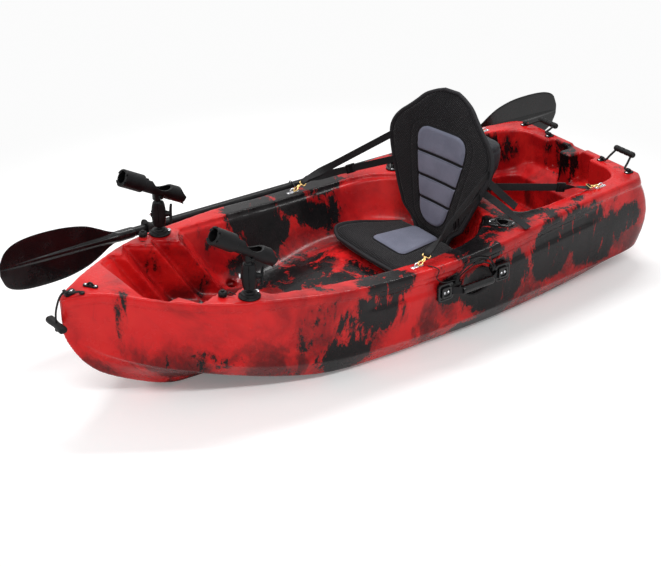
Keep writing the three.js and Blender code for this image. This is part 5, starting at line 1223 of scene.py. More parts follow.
port_starboard = (("port", -1), ("starboard", 1))
for side, s in port_starboard:
    holder = mirrored(s) @ moved(rod_x, rod_y, rod_pad + gap)
    base = turned([(0, 0), (0.0305, 0), (0.0315, 0.0010), (0.0315, 0.0042), (0.0305, 0.0056),
        (0.0262, 0.0080), (0.0250, 0.0086), (0.0243, 0.0094), (0.0240, 0.0122), (0.0232, 0.0132),
        (0.0182, 0.0140), (0.0172, 0.0148), (0.0165, 0.0172), (0.0155, 0.0184), (0.0100, 0.0190),
        (0.0080, 0.0204), (0.0070, 0.0225), (0.0070, low_ball), (0, low_ball)], 64)
    neck_ball = lay(ball(ball_radius), 0, 0, low_ball)
    ring_of = [(0.0272 * math.cos(a), 0.0272 * math.sin(a), 0.0070)
        for a in (math.pi / 4 + k * math.pi / 2 for k in range(4))]
    heads = screws(ring_of, nylon, 0.95)
    pin_x = base_radius - 0.0035
    pin = joined(lay(slab(0.0120, 0.0150, 0.0082, 0.0050, 8, 0.0016), pin_x, -0.006, 0.0002),
        lay(bar(0.0045, 0.0012, 24), pin_x, -0.006, 0.0088))
    whole = joined_painted((joined(base, neck_ball, heads), nylon), (pin, bright_steel))
    dressed(f"rod_base_{side}_moulding", lay(whole, matrix=holder), "kayak",
        [f"rod_base_{side}"])

    arm = holder @ spin(-arm_turn if side == "port" else arm_turn, "Z")
    low, high = low_ball - 0.005, high_ball + 0.005
    rings = []
    for k in range(33):
        u = k / 32
        share = 0.70 + 0.30 * math.sin(math.pi * u) ** 0.55
        points = []
        for i in range(56):
            a = 2 * math.pi * i / 56
            c, n = math.cos(a), math.sin(a)
            points.append((arm_half[0] * share * bulged(c, 0.62),
                arm_half[1] * (0.86 + 0.14 * share) * bulged(n, 0.62), low + (high - low) * u))
        rings.append(points)
    middle = (low + high) / 2
    seam_ring = joined(lay(box_shape(0.0014, 0.0042, 0.2), 0, arm_half[1] - 0.0004, 0.06),
        lay(box_shape(0.0014, 0.0042, 0.2), 0, 0.0004 - arm_half[1], 0.06))
    shells = worked(loft(rings), cut(lay(ball(ball_radius + 0.0008, 40, 28), 0, 0, low_ball)),
        cut(lay(ball(ball_radius + 0.0008, 40, 28), 0, 0, high_ball)), cut(seam_ring),
        cut(lay(bar(bolt_radius + gap, 0.09, 24), 0, 0, middle, (0, 90, 0))),
        ("REMESH", {"mode": "VOXEL", "voxel_size": 0.0007}),
        ("SMOOTH", {"factor": 0.5, "iterations": 3}), ("DECIMATE", {"ratio": 0.3}))
    boss = [lay(turned([(0.0036, 0), (0.0100, 0), (0.0100, 0.0020), (0.0088, 0.0030), (0.0036, 0.0030)],
        40), -x * (arm_half[0] - 0.0012), 0, middle, (0, -90 * x, 0)) for x in (1, -1)]
    dressed(f"rod_arm_{side}_shells", lay(joined(shells, *boss), matrix=arm), f"rod_arm_{side}_body",
        [f"rod_arm_{side}"], nylon)

    knob_turn = arm @ moved(0, 0, middle) @ spin(64 if side == "port" else -12, "X")
    out = arm_half[0] + 0.001
    bolt = lay(bar(bolt_radius, 0.055, 24), 0.001, 0, 0, (0, 90, 0))
    nut = lay(bar(0.0062, 0.004, 6), -arm_half[0] - 0.0040, 0, 0, (0, 90, 0))
    hub = lay(turned([(0, 0), (0.0092, 0), (0.0092, 0.0020), (0.0084, 0.0040), (0.0076, 0.0110),
        (0.0068, 0.0122), (0, 0.0122)], 40), out + gap, 0, 0, (0, 90, 0))
    rings = []
    for k in range(25):
        u = 2 * k / 24 - 1
        wide = 0.0042 + 0.0016 * abs(u) ** 1.5
        tall = 0.0046 - 0.0006 * abs(u)
        tip = math.sqrt(max(1 - max(0, (abs(u) - 0.86) / 0.14) ** 2, 0.02))
        rings.append([(out + 0.0135 + 0.0022 * abs(u) ** 2 - 0.0009 + tall * tip * math.cos(a),
            wide * tip * math.sin(a), 0.031 * u) for a in angles(24)])
    wing = loft(rings)
    dressed(f"wing_knob_{side}_handle", lay(joined_painted((joined(hub, wing), nylon),
        (joined(bolt, nut), bright_steel)), matrix=knob_turn), f"wing_knob_{side}_body",
        [f"wing_knob_{side}"])

    pitch = tube_pitch[side]
    cradle = holder @ moved(0, 0, high_ball)
    lie = moved(0, 0, tube_rise) @ spin(-(90 - pitch), "Y")
    rear, front = -tube_length * 0.42, tube_length * 0.58
    collar_from = front - collar_length
    tube = lay(turned([(0, rear), (tube_outer + 0.0015, rear), (tube_outer + 0.0018, rear + 0.03),
        (tube_outer + 0.0012, rear + 0.050), (tube_outer, rear + 0.062), (tube_outer, collar_from - gap),
        (tube_outer - 0.0014, collar_from - gap), (tube_outer - 0.0014, front), (0, front)], 64),
        matrix=lie)
    neck = lay(slab(0.030, 0.022, tube_rise - ball_radius - 0.002, 0.006, 6), 0, 0, ball_radius + 0.002)
    stem = lay(bar(neck_radius, ball_radius + 0.004, 32), 0, 0, ball_radius - 0.002)
    bore = lay(bar(tube_bore, tube_length * 2, 48), matrix=lie)
    window = lay(box_shape(0.009, 0.06, 0.012), 0.002, 0, ball_radius + 0.013)
    saddle = lay(lay(bar(0.046, 0.08, 64), 0.047, 0, 0, (90, 0, 0)), matrix=lie @ moved(0, 0, rear + 0.092))
    slot = lay(box_shape(0.040, 0.021, tube_length),
        matrix=lie @ moved(0.020, 0, rear + 0.092 + tube_length / 2))
    butt = lay(lay(bar(0.040, 0.08, 64), 0.041, 0, 0, (90, 0, 0)), matrix=lie @ moved(0, 0, rear - 0.014))
    lip = lay(box_shape(0.005, 0.024, 0.010, 0.0015),
        matrix=lie @ moved(0, 0, rear - 0.002) @ moved(0.002 - tube_outer, 0, 0) @ spin(18, "Y"))
    ribs = [lay(box_shape(0.0022, 0.0026, 0.050, 0.0008),
        matrix=lie @ moved(-tube_outer - 0.0002, y, rear + 0.065)) for y in (-0.006, 0.006)]
    voxels = "REMESH", {"mode": "VOXEL", "voxel_size": 0.0008}
    block = worked(joined(tube, neck, stem), voxels)
    cradle_mesh = worked(block, cut(bore), cut(window), cut(saddle), cut(slot), cut(butt), fuse(lip),
        voxels, ("SMOOTH", {"factor": 0.5, "iterations": 3}),
        ("DECIMATE", {"ratio": 0.35}))
    dressed(f"rod_cradle_{side}_tube", lay(joined(cradle_mesh, ball(ball_radius), *ribs), matrix=cradle),
        f"rod_cradle_{side}_body", [f"rod_cradle_{side}"], nylon)

    inner = tube_outer - 0.0014 + 0.0009
    sleeve = turned([(inner, -collar_length / 2), (collar_outer - 0.0016, -collar_length / 2),
        (collar_outer, 0.0016 - collar_length / 2), (collar_outer, collar_length / 2 - 0.0016),
        (collar_outer - 0.0016, collar_length / 2), (inner, collar_length / 2)], 72)
    gap_cut = lay(box_shape(collar_outer * 2, 0.020, collar_length * 2), collar_outer, 0, 0)
    grips = [cut(lay(bar(0.0034, 0.008, 20), collar_outer * math.cos(a), collar_outer * math.sin(a),
        collar_length / 2)) for a in (math.radians(50 + k * 52) for k in range(5))]
    collar = worked(sleeve, cut(gap_cut), *grips)
    place = cradle @ lie @ moved(0, 0, collar_from + collar_length / 2) @ spin(100 * s, "Z")
    dressed(f"lock_collar_{side}_sleeve", lay(collar, matrix=place), f"lock_collar_{side}_body",
        [f"lock_collar_{side}"], nylon)

# Mount plugs: soft rubber plugs on the bow deck, notched round the rim. Each has its own moulded
# tail, which runs to the rod holder base behind it.
soft_rubber = moulded("soft_rubber", (700.0, 0.0003, 90.0, 0.0003, 0.56, 0.16),
    (0.0045, 0.0045, 0.0048, 1), (0.0130, 0.0125, 0.0125, 1), 0.2)
for side, s, x, y in (("port", -1, -0.613, 0.206), ("starboard", 1, -0.604, 0.247)):
    z = max(deck_at(x - base_radius / 2), deck_at(x)) + gap
    plug = turned([(0, 0), (0.0118, 0), (0.0125, 0.0010), (0.0125, 0.0082), (0.0118, 0.0092),
        (0.0105, 0.0128), (0.0096, 0.0134), (0.0055, 0.0136), (0.0055, 0.0174), (0.0048, 0.0180),
        (0, 0.0180)], 40)
    notches = [cut(lay(box_shape(0.0022, 0.006, 0.0070), 0.0125 * math.cos(a), 0.0125 * math.sin(a),
        0.0046, (0, 0, math.degrees(a) + 90))) for a in (2 * math.pi * k / 8 for k in range(8))]
    plug = lay(worked(plug, *notches), x, y, z)
    to_base = rod_x - base_radius - x
    tail = stock(curve_points([(x + 0.008, y, z + 0.005), (x + to_base * 0.5, y + 0.005, z + 0.003),
        (x + to_base * 0.7, y - 0.005, z + 0.002), (x + to_base - 0.002, (y + rod_y) / 2, z + 0.002)],
        40), 0.0015, soft_rubber)
    dressed(f"mount_plug_{side}_rubber", lay(joined(plug, tail), matrix=mirrored(s)),
        "kayak", [f"mount_plug_{side}"], soft_rubber)

# Seat straps: 25 mm woven webbing from four brass snap hooks to the backrest. Each front one is a
# sewn V with a ladder-lock buckle, each rear one a second of the same kind; two loose
# tails hang on the port side.
web_width, web_thick = 0.025, 0.0018
eye_arch, eye_wire, eye_long, eye_wide = 0.010, 0.0019, 0.044, 0.012
hook_length, hook_ring, hook_wire, web_loop_bar, web_rise = 0.0355, 0.0076, 0.0021, 0.003, 0.0044
hook_places = {"front": ((-0.015, 0.318), (0.84, -0.12, 0.5), 1, 0.85),
    "rear": ((0.759, 0.281), (-0.93, -0.33, 0.1), -1, 0.72)}
hook_frames = {}
for end, ((x, y), toward, leg, rise) in hook_places.items():
    low = min(deck_at(x - eye_long / 2), deck_at(x + eye_long / 2)) - 0.0005
    way = Vector(toward).normalized()
    side_way = (Vector((0, 1, 0)) - way * way.y).normalized()
    frame_of = Matrix((way, side_way, way.cross(side_way))).transposed().to_4x4()
    frame_of.translation = (x + leg * (eye_arch + 0.0022), y, low + gap + eye_arch * rise)
    hook_frames[end] = (frame_of, (x, y, low + gap))


def ribbon(points, ways, width, thick, count, curl=0.0):
    """Woven band along points, its width along the given directions, with its cloth map in metres."""
    at, across = curve_points(points, count), curve_points(ways, count)
    half = [(a, 1.0) for a in (-0.96, -0.7, -0.35, 0, 0.35, 0.7, 0.96)]
    section = (half + [(1.0, 0.35), (1.0, -0.35)] + [(a, -1.0) for a, _ in reversed(half)]
        + [(-1.0, -0.35), (-1.0, 0.35)])
    points, faces, cloth, run = [], [], [], 0.0
    for i in range(count + 1):
        along = (at[min(i + 1, count)] - at[max(i - 1, 0)]).normalized()
        side = (across[i] - along * across[i].dot(along)).normalized()
        up_way = along.cross(side)
        run += (at[i] - at[i - 1]).length if i else 0.0
        wave = noise.noise(at[i] * 30) * curl
        for a, b in section:
            points.append(at[i] + side * (a * width / 2)
                + up_way * (b * thick / 2 + wave * (1 - a * a) + curl * 0.4 * a * a))
            cloth.append((a * width / 2 + (b < 0) * width, run))
    n = len(section)
    for i in range(count):
        for j in range(n):
            a, b = i * n + j, i * n + (j + 1) % n
            faces.append((a, b, b + n, a + n))
    faces += [tuple(reversed(range(n))), tuple(range(count * n, count * n + n))]
    mesh = bpy.data.meshes.new("ribbon")
    mesh.from_pydata([tuple(p) for p in points], [], faces)
    layer = mesh.uv_layers.new(name="UVMap")
    for loop in mesh.loops:
        layer.data[loop.index].uv = cloth[loop.vertex_index]
    faced_out(mesh)
    return mesh


# Painted shade: the webbing is darker in the low parts of its weave, between the threads
webbing = woven("woven_webbing", (0.0034, 0.0022, 0.6), (0.00055, 0.0003), 0.15, (0.5, 0.72),
    lambda t, high, fuzz: blend_colours(t, ramp(t, fuzz, 0.4, 0.75, 0.0, 0.6),
        blend_colours(t, high, (0.0055, 0.0055, 0.006, 1), (0.021, 0.021, 0.0225, 1)),
        (0.036, 0.035, 0.037, 1)))


def buckle(length, width, thick):
    """Ladder-lock buckle: a frame with two bars, the webbing passing under and over."""
    frame_shape = worked(box_shape(length, thick, width, 0.0015),
        *[cut(lay(box_shape(length * 0.2, thick * 3, width * 0.78, 0.001), x * length, 0, 0))
        for x in (-0.28, 0.28)])
    bars = [lay(bar(thick * 0.42, width * 0.9, 16), x * length, 0, 0) for x in (-0.06, 0.06)]
    lever = lay(box_shape(length * 0.26, thick * 0.5, width * 0.5, 0.001), length * 0.42, thick * 0.2, 0,
        (0, 0, 14))
    return joined(frame_shape, *bars, lever)


up = Vector((0, 0, 1))
back_join = {"upper": 0.593, "lower": 0.417, "rear": 0.44, "rear_side": 0.150}
for side, s in port_starboard:
    def local(end, x, z, y=0.0):
        p = hook_frames[end][0] @ Vector((x, y, z))
        return Vector((p.x, p.y * s, p.z))

    slot_at = hook_length - gap - web_loop_bar * 2

    def from_hook(end):
        return [local(end, slot_at, -0.004), local(end, slot_at, 0),
            local(end, slot_at + web_loop_bar * 1.6, web_rise),
            local(end, slot_at + hook_length / 2, web_rise)]

    def flat_way(end):
        y = hook_frames[end][0].to_3x3().col[1]
        return Vector((y.x, y.y * s, y.z))

    def front_leg(t, inset):
        w = back_half * row_at(back_shares, t)[0]
        last = Vector(back_point(s * (w - 0.009), 0, t, w))
        sewn = from_hook("front")[3]
        path = ([local("front", slot_at + hook_length / 2, web_rise - inset)] if inset
            else from_hook("front")) + [sewn.lerp(last, 0.35), sewn.lerp(last, 0.85), last]
        for p in path[-3:]:
            p.y += s * inset
        turn_way = flat_way("front")
        return ribbon(path, [turn_way] * (1 if inset else 4) + [up] * 3, web_width * 0.98, web_thick, 46,
            0.0004)

    upper, lower = front_leg(back_join["upper"], 0), front_leg(back_join["lower"], web_thick * 1.35)
    w = back_half * row_at(back_shares, back_join["lower"])[0]
    middle = from_hook("front")[3].lerp(Vector(back_point(s * w, 0, back_join["lower"], w)), 0.5)
    clip = lay(buckle(0.030, 0.031, 0.007), *middle, (0, -10, -18 * s))
    block = box_shape(web_width * 0.7, web_width * 1.03, web_thick * 3.4, 0.0012)
    block = lay(block, matrix=mirrored(s) @ hook_frames["front"][0]
        @ moved(slot_at + hook_length / 2, 0, web_rise - web_thick * 0.7))
    strap = put_object(f"front_strap_{side}_webbing",
        joined_painted((joined(upper, lower), webbing), (block, webbing), (clip, nylon)))
    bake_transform(strap)
    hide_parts(f"front_strap_{side}")

    first = from_hook("rear")
    w = back_half * row_at(back_shares, back_join["rear"])[0]
    last = Vector(back_point(s * back_join["rear_side"], web_thick * 2 - back_thick / 2,
        back_join["rear"], w))
    way = flat_way("rear")
    band = ribbon([*first, first[3].lerp(last, 0.3), first[3].lerp(last, 0.8), last],
        [way] * 4 + [up] * 3, web_width * 0.98, web_thick, 60, 0.0005)
    slide_at = first[3].lerp(last, 0.22)
    slide = lay(buckle(0.030, 0.031, 0.007), *slide_at, (0, 9, 19 * s))
    strap = put_object(f"rear_strap_{side}_webbing", joined_painted((band, webbing), (slide, nylon)))
    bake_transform(strap)
    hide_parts(f"rear_strap_{side}")

# Loose tails of the port buckles, woven like the straps: one hangs behind the backrest, one lies
# over the tank well's rim
tails = {
    "loose_tail_high": [(0.352, -0.172, 0.428), (0.372, -0.196, 0.405), (0.396, -0.214, 0.376),
        (0.424, -0.232, 0.345), (0.436, -0.242, 0.331)],
    "loose_tail_low": [(0.352, -0.186, 0.378), (0.366, -0.222, 0.362), (0.376, -0.268, 0.344),
        (0.384, -0.316, 0.3265), (0.388, -0.352, 0.3165)],
}
tail_ways = [(0.7, 0.25, 0.5)] + [(0.86, -0.1, 0.3)] * 2 + [(0.9, -0.05, 0.1)] * 2
for name, points in tails.items():
    tail = ribbon(points, tail_ways, web_width * 0.96, web_thick, 40, 0.0008)
    dressed(name, painted_with(tail, webbing), "kayak", sharp=0)

# Bolt snap hooks of cast brass on screwed stainless eyes: a ring, a barrel with a swivel loop
# for the webbing, and a sprung thumb bolt that closes the ring
cast_brass = new_material("cast_brass")
t = cast_brass.node_tree
cast = mottle(t, 420.0, 3.0, 0.6)
bump = raised(t, cast, 0.35, 0.0004)
shade(cast_brass, {"Base Color": blend_colours(t, ramp(t, cast, 0.3, 0.7), (0.62, 0.40, 0.13, 1),
    (0.86, 0.63, 0.27, 1)), "Metallic": 1.0, "Roughness": ramp(t, cast, 0.3, 0.7, 0.17, 0.36),
    "Normal": bump})


def arch_of(radius):
    """The wire of an eye, arched over its plate."""
    top = [(radius * math.cos(a), 0, 0.003 + radius * math.sin(a))
        for a in (math.pi * i / 12 for i in range(13))]
    return curve_points([(radius, 0, 0.0006), *top, (-radius, 0, 0.0006)], 60)


for side, s in port_starboard:
    mirror = mirrored(s)
    for end, (frame_of, foot_at) in hook_frames.items():
        plate = slab(eye_long, eye_wide, 0.0021, eye_wide / 3, 8, 0.0007)
        heads = screws([(x, 0, 0.0021) for x in (-0.017, 0.017)], bright_steel, 0.88)
        eye = joined(plate, stock(arch_of(eye_arch), eye_wire, bright_steel, 16), heads)
        dressed(f"deck_eye_{end}_{side}_stainless", lay(eye, matrix=mirror @ Matrix.Translation(foot_at)),
            "kayak", [f"deck_eye_{end}_{side}"], bright_steel)
        bent = [(hook_ring * math.cos(a), hook_ring * math.sin(a), 0)
            for a in (math.radians(58 + i * 290 / 30) for i in range(31))]
        barrel = lay(turned([(0, -0.009), (0.0026, -0.009), (0.0033, -0.0080), (0.0034, -0.0030),
            (0.0029, -0.0022), (0.0029, 0.0020), (0.0034, 0.0028), (0.0034, 0.0082), (0.0028, 0.009),
            (0, 0.009)], 28), 0.015, 0, 0, (0, 90, 0))
        loop_x, loop_wide = hook_length - 0.0063, web_width + 0.0045
        corners = [(loop_x + 0.0044 * a, loop_wide / 2 * b, 0)
            for a, b in ((-1, 0), (-1, 0.85), (-0.8, 1), (0.8, 1), (1, 0.85), (1, -0.85), (0.8, -1),
            (-0.8, -1), (-1, -0.85))]
        loop_bar = stock(corners, 0.00165, cast_brass, 14, True)
        hook = joined(stock(curve_points(bent, 90), hook_wire, cast_brass, 16), barrel, loop_bar)
        dressed(f"snap_hook_{end}_{side}_brass", lay(hook, matrix=mirror @ frame_of), "kayak",
            [f"snap_hook_{end}_{side}"], cast_brass)
        thumb = joined(lay(bar(0.0015, 0.0118, 20, round_by=0.0004), 0.012, 0.0053, 0, (0, 90, 0)),
            lay(turned([(0, -0.0016), (0.0020, -0.0016), (0.0024, -0.0008), (0.0024, 0.0008),
            (0.0020, 0.0016), (0, 0.0016)], 24), 0.0125, 0.0069, 0, (0, 90, 0)))
        dressed(f"hook_thumb_{end}_{side}_bolt", lay(thumb, matrix=mirror @ frame_of),
            f"hook_thumb_{end}_{side}_body", [f"hook_thumb_{end}_{side}"], cast_brass)

# Side carry handles: webbing with a smooth rubber sleeve, its ends held in two gloss black
# plates, each let into the hull and fixed by two machine screws in a sunk middle
plate_clip = 0.036
grip_length, grip_radius, grip_strap, grip_web, grip_play = 0.118, 0.013, 0.0024, 0.0225, 0.0063
gloss_nylon = moulded("gloss_nylon", (900.0, 0.00008, 45.0, 0.0002, 0.20, 0.16),
    (0.0035, 0.0036, 0.0042, 1), (0.0085, 0.0085, 0.0092, 1), 0.22,
    {"Coat Weight": 0.25, "Coat Roughness": 0.12})
wall_y = side_at(handle_x, handle_z)
for side, s in port_starboard:
    mirror = mirrored(s)
    strap_y = []
    for i, x in enumerate((handle_x - plate_spread / 2, handle_x + plate_spread / 2)):
        y = side_at(x, handle_z) - 0.002 + gap
        strap_y.append(y + grip_play)
        inward = 1 if x < handle_x else -1
        plate = worked(slab(plate_size, plate_size, plate_thick, plate_size / 5, 10, 0.0022),
            cut(lay(slab(plate_size * 0.80, plate_size * 0.80, 0.01, plate_size / 7, 8),
                0, 0, plate_thick - 0.0022)),
            fuse(slab(plate_clip, plate_clip, plate_thick + 0.005, 0.006, 8, 0.0016)),
            cut(lay(slab(plate_clip * 0.66, plate_clip * 0.66, 0.01, 0.006, 8),
                0, 0, plate_thick + 0.0014)),
            cut(lay(box_shape(plate_size, grip_web + grip_play, plate_thick * 3),
                inward * (plate_clip + plate_size) / 2, 0, 0)))
        heads = screws([(0.007 * k, 0, plate_thick + 0.0014) for k in (-1, 1)],
            bright_steel, 1.12)
        whole = joined_painted((plate, gloss_nylon), (heads, bright_steel))
        place = mirror @ moved(x, y, handle_z) @ spin(-90, "X")
        end = ("fore", "aft")[i]
        dressed(f"handle_plate_{end}_{side}_moulding", lay(whole, matrix=place), "kayak",
            [f"handle_plate_{end}_{side}"])
    reach = plate_spread / 2 - plate_clip / 2 - gap - grip_strap / 2
    grip_y, grip_z = wall_y + grip_radius + 0.006, handle_z - 0.003
    web = ribbon([(handle_x - reach, strap_y[0], handle_z), (handle_x - grip_length / 2, grip_y, grip_z),
        (handle_x + grip_length / 2, grip_y, grip_z), (handle_x + reach, strap_y[1], handle_z)],
        [(0, 0, 1)] * 4, grip_web, grip_strap, 48)
    rings = []
    for k in range(41):
        u = 2 * k / 40 - 1
        near_end = max(0, (abs(u) - 0.93) / 0.07)
        r = grip_radius * (0.985 - 0.16 * near_end ** 2) * (1 + 0.006 * math.sin(9 * u))
        rings.append([(handle_x + u * grip_length / 2, grip_y + r * math.cos(a) * 0.97,
            grip_z + r * math.sin(a)) for a in angles(40)])
    grip = joined_painted((loft(rings), gloss_nylon), (web, webbing))
    dressed(f"carry_grip_{side}_sleeve", lay(grip, matrix=mirror), f"carry_grip_{side}_body",
        [f"carry_grip_{side}"])

# Flush rod holders: gloss black tubes let into the deck behind the seat, leaning aft and outwards.
# Each has an oval flange, a raised bead round its mouth and two screws.
for side, s in port_starboard:
    place = flush_place(Matrix.Identity(4), s)
    flange = slab(0.084, 0.046, 0.004, 0.0229, 14, 0.0016)
    rim_bead = stock([(0.019 * math.cos(a) * 1.12, 0.019 * math.sin(a), 0.0042) for a in angles(48)],
        0.0021, gloss_nylon, 12, True)
    tilt = moved(flush_lean, 0, 0) @ spin(flush_tilt, "Y") @ moved(-flush_lean, 0, 0)
    sleeve = lay(bar(flush_outer, 0.121, 64), matrix=tilt @ moved(0, 0, -0.0595))
    body = worked(lay(flange, 0, 0, gap), fuse(sleeve),
        cut(lay(bar(flush_bore, 0.152, 64), matrix=tilt @ moved(0, 0, -0.04))))
    heads = screws([(0.0355 * k, 0, 0.0043) for k in (-1, 1)], bright_steel, 0.9)
    whole = joined_painted((body, gloss_nylon), (heads, bright_steel), (rim_bead, gloss_nylon))
    dressed(f"flush_rod_holder_{side}_tube", lay(whole, matrix=place), "kayak",
        [f"flush_rod_holder_{side}"])

# Paddle keepers: doubled shock cord over each handle, knotted in a ferrule at either end, with a
# leash to the deck eye; the starboard one is stretched round the stowed shaft
shaft_radius, shaft_y, shaft_z, shaft_sag = 0.0145, 0.3776, 0.284, 0.5
# Painted shade: the braided cord is darker in the low parts of its braid, between the threads
shock_cord = woven("braided_shock_cord", (0.0016, 0.0021, 1.0), (0.00045, 0.0002), 0.2, (0.42, 0.66),
    lambda t, high, fuzz: blend_colours(t, high, (0.005, 0.005, 0.0055, 1), (0.020, 0.020, 0.021, 1)))


for side, s in port_starboard:
    mirror = mirrored(s)
    thick = 0.0023
    x0 = handle_x - plate_spread / 2 + plate_size / 2 + 0.006
    x1 = handle_x + plate_spread / 2 - plate_size / 2 - 0.006
    y = wall_y + 0.006
    lip = hull_lines(handle_x / half_length)[0] + thick + gap
    hold = shaft_y + shaft_radius + thick + gap - lip if side == "starboard" else 0

    def over_handle(lift, inset):
        return [(x0 + inset, y, handle_z + 0.026), (x0 + 0.008 + inset, lip + hold * 0.5,
            handle_z + 0.044 + lift * 0.3), (x0 + 0.038 + inset, lip + 0.004 + hold,
            handle_z + 0.066 + lift * 0.8), ((x0 + x1) / 2, lip + 0.006 + hold, handle_z + 0.076 + lift),
            (x1 - 0.038 - inset, lip + 0.004 + hold, handle_z + 0.066 + lift * 0.8),
            (x1 - 0.008 - inset, lip + hold * 0.5, handle_z + 0.044 + lift * 0.3),
            (x1 - inset, y, handle_z + 0.026)]

    (eye_x, eye_y), line = hook_places["front"][0], 0.0016
    if side == "starboard":
        turn_round = [(eye_x + 0.034 + line * i, shaft_y
            + (shaft_radius + line + 0.0015) * math.cos(math.radians(a)),
            shaft_z + (shaft_radius + line + 0.0015) * math.sin(math.radians(a)))
            for i, a in enumerate((120, 80, 40, 0, -40, -80))]
    else:
        turn_round = [(eye_x + 0.036, lip - 0.007, deck_at(0) + 0.003),
            (eye_x + 0.043, lip + 0.001, deck_at(0) - 0.005), (eye_x + 0.036, lip, deck_at(0) - 0.028)]
    leash = [(eye_x + 0.026, eye_y + 0.018, deck_at(0) + 0.0026), *turn_round,
        (eye_x + 0.054, lip, handle_z + 0.044), (x0 - 0.034, y, handle_z + 0.034),
        (x0 - 0.006, y, handle_z + 0.032), (x0 + 0.002, y, handle_z + 0.027)]
    ferrules = [lay(box_shape(0.014, 0.008, 0.016, 0.0022, 3), x, y, handle_z + 0.026)
        for x in (x0 + 0.003, x1 - 0.003)]
    ends = put_object(f"paddle_keeper_{side}_ferrules",
        lay(painted_with(joined(*ferrules), nylon), matrix=mirror))
    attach(ends, "kayak")
    for name, route, radius in (("outer", over_handle(0.008, 0), thick),
            ("inner", over_handle(-0.006, 0.007), thick), ("leash", leash, line)):
        path = [Vector(mirror @ Vector(p)) for p in curve_points([Vector(p) for p in route], 150)]
        cord = put_object(f"paddle_keeper_{side}_{name}",
            painted_with(stock(path, radius, shock_cord, 16), shock_cord))
        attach(cord, "kayak")
        if name == "outer":
            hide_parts(f"paddle_keeper_{side}")

# Bow: a moulded nose fitting that leads the tow rope, a rubber T handle hanging on the knotted
# rope, the rope's button on the deck, and a screwed deck eye behind
nose_x, nose_long, nose_wide, nose_thick = -0.973, 0.032, 0.025, 0.005
toggle_x, toggle_z, toggle_long, toggle_wide, toggle_high = -1.021, 0.290, 0.088, 0.025, 0.020
rope_radius = 0.003
slope = math.atan2(deck_at(nose_x + nose_long / 2) - deck_at(nose_x - nose_long / 2), nose_long)
nose_z, tip = deck_at(nose_x) + 0.0006, nose_x - nose_long / 2
rope_route = [(toggle_x, 0, toggle_z - toggle_high / 2 - rope_radius), (toggle_x, 0, toggle_z),
    (toggle_x, 0, toggle_z + toggle_high),
    (toggle_x + rope_radius, 0, (toggle_z + nose_z) / 2 + rope_radius),
    (tip - rope_radius * 5, 0, nose_z - rope_radius),
    (tip - rope_radius, 0, nose_z + rope_radius * 2.6),
    (tip + rope_radius * 2, -rope_radius, nose_z + rope_radius * 3.2),
    (nose_x - rope_radius, -nose_wide / 2 - rope_radius, nose_z + rope_radius * 3),
    (nose_x + nose_long / 2, -nose_wide, nose_z + rope_radius * 3.6),
    (nose_x + nose_long * 0.7, -nose_wide * 1.15, nose_z + rope_radius * 2.6)]
rope_path = curve_points(rope_route, 200)
knot_at = Vector((toggle_x, 0, toggle_z - toggle_high / 2 - rope_radius * 2))
coils = []
for turn in ((0.3, 0.2, 0), (1.4, 0.3, 0.2), (0.8, 1.2, 0.5)):
    coil = [knot_at + Euler(turn).to_matrix() @ Vector((rope_radius * 1.25 * math.cos(a),
        rope_radius * 1.25 * math.sin(a), 0)) for a in angles(28)]
    coils.append(stock(coil, rope_radius * 0.72, shock_cord, 12, True))
knot = joined(*coils)
washer_x = nose_x + nose_long * 0.7
button = lay(turned([(0, -0.003), (0.0066, -0.003), (0.0078, -0.0022), (0.0078, 0.0010), (0.0070, 0.0022),
    (0.0050, 0.003), (0, 0.003)], 36), washer_x, -nose_wide * 1.15,
    deck_at(washer_x) + 0.0009 + rope_radius)
rope = put_object("bow_toggle_rope_braid", painted_with(stock(rope_path, rope_radius, shock_cord, 18),
    shock_cord))
rope_ends = put_object("bow_toggle_rope_knot", joined_painted((knot, shock_cord), (button, nylon)))
for part in (rope, rope_ends):
    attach(part, "kayak")
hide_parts("bow_toggle_rope")

rings = []
for k in range(49):
    u = 2 * k / 48 - 1
    (share,) = row_at([(-1, 0.80), (-0.9, 1.0), (-0.5, 0.96), (0, 0.82), (0.5, 0.96), (0.9, 1.0),
        (1, 0.80)], u)
    closing = math.sqrt(max(1 - max(0, (abs(u) - 0.93) / 0.07) ** 2, 0.06))
    rings.append([(toggle_x + toggle_wide / 2 * min(share, 1) * closing * bulged(math.cos(a), 0.8),
        toggle_long / 2 * u,
        toggle_z + toggle_high / 2 * min(share, 1) * closing * bulged(math.sin(a), 0.8))
        for a in angles(40)])
handle = worked(loft(rings), cut(lay(bar(rope_radius + gap, 0.06, 32), toggle_x, 0, toggle_z)))
dressed("bow_toggle_handle", handle, "bow_toggle_body", ["bow_toggle"], soft_rubber)

bed = moved(nose_x, 0, nose_z) @ Matrix.Rotation(-slope, 4, "Y")
groove = stock(rope_path, rope_radius + 0.0009, nylon, 14)
horn = lay(box_shape(0.009, nose_wide * 0.8, nose_thick * 3, 0.0016, 3),
    matrix=bed @ moved(0.009 / 2 - nose_long / 2 + gap, 0, nose_thick * 1.5))
fitting = worked(lay(slab(nose_long, nose_wide, nose_thick, 0.008, 8, 0.0014), matrix=bed), fuse(horn),
    cut(groove))
nose_head = screws([(nose_long / 5, 0, nose_thick)], bright_steel, 1.0)
dressed("bow_nose_fitting_moulding", joined_painted((fitting, nylon),
    (lay(nose_head, matrix=bed), bright_steel)), "kayak", ["bow_nose_fitting"])

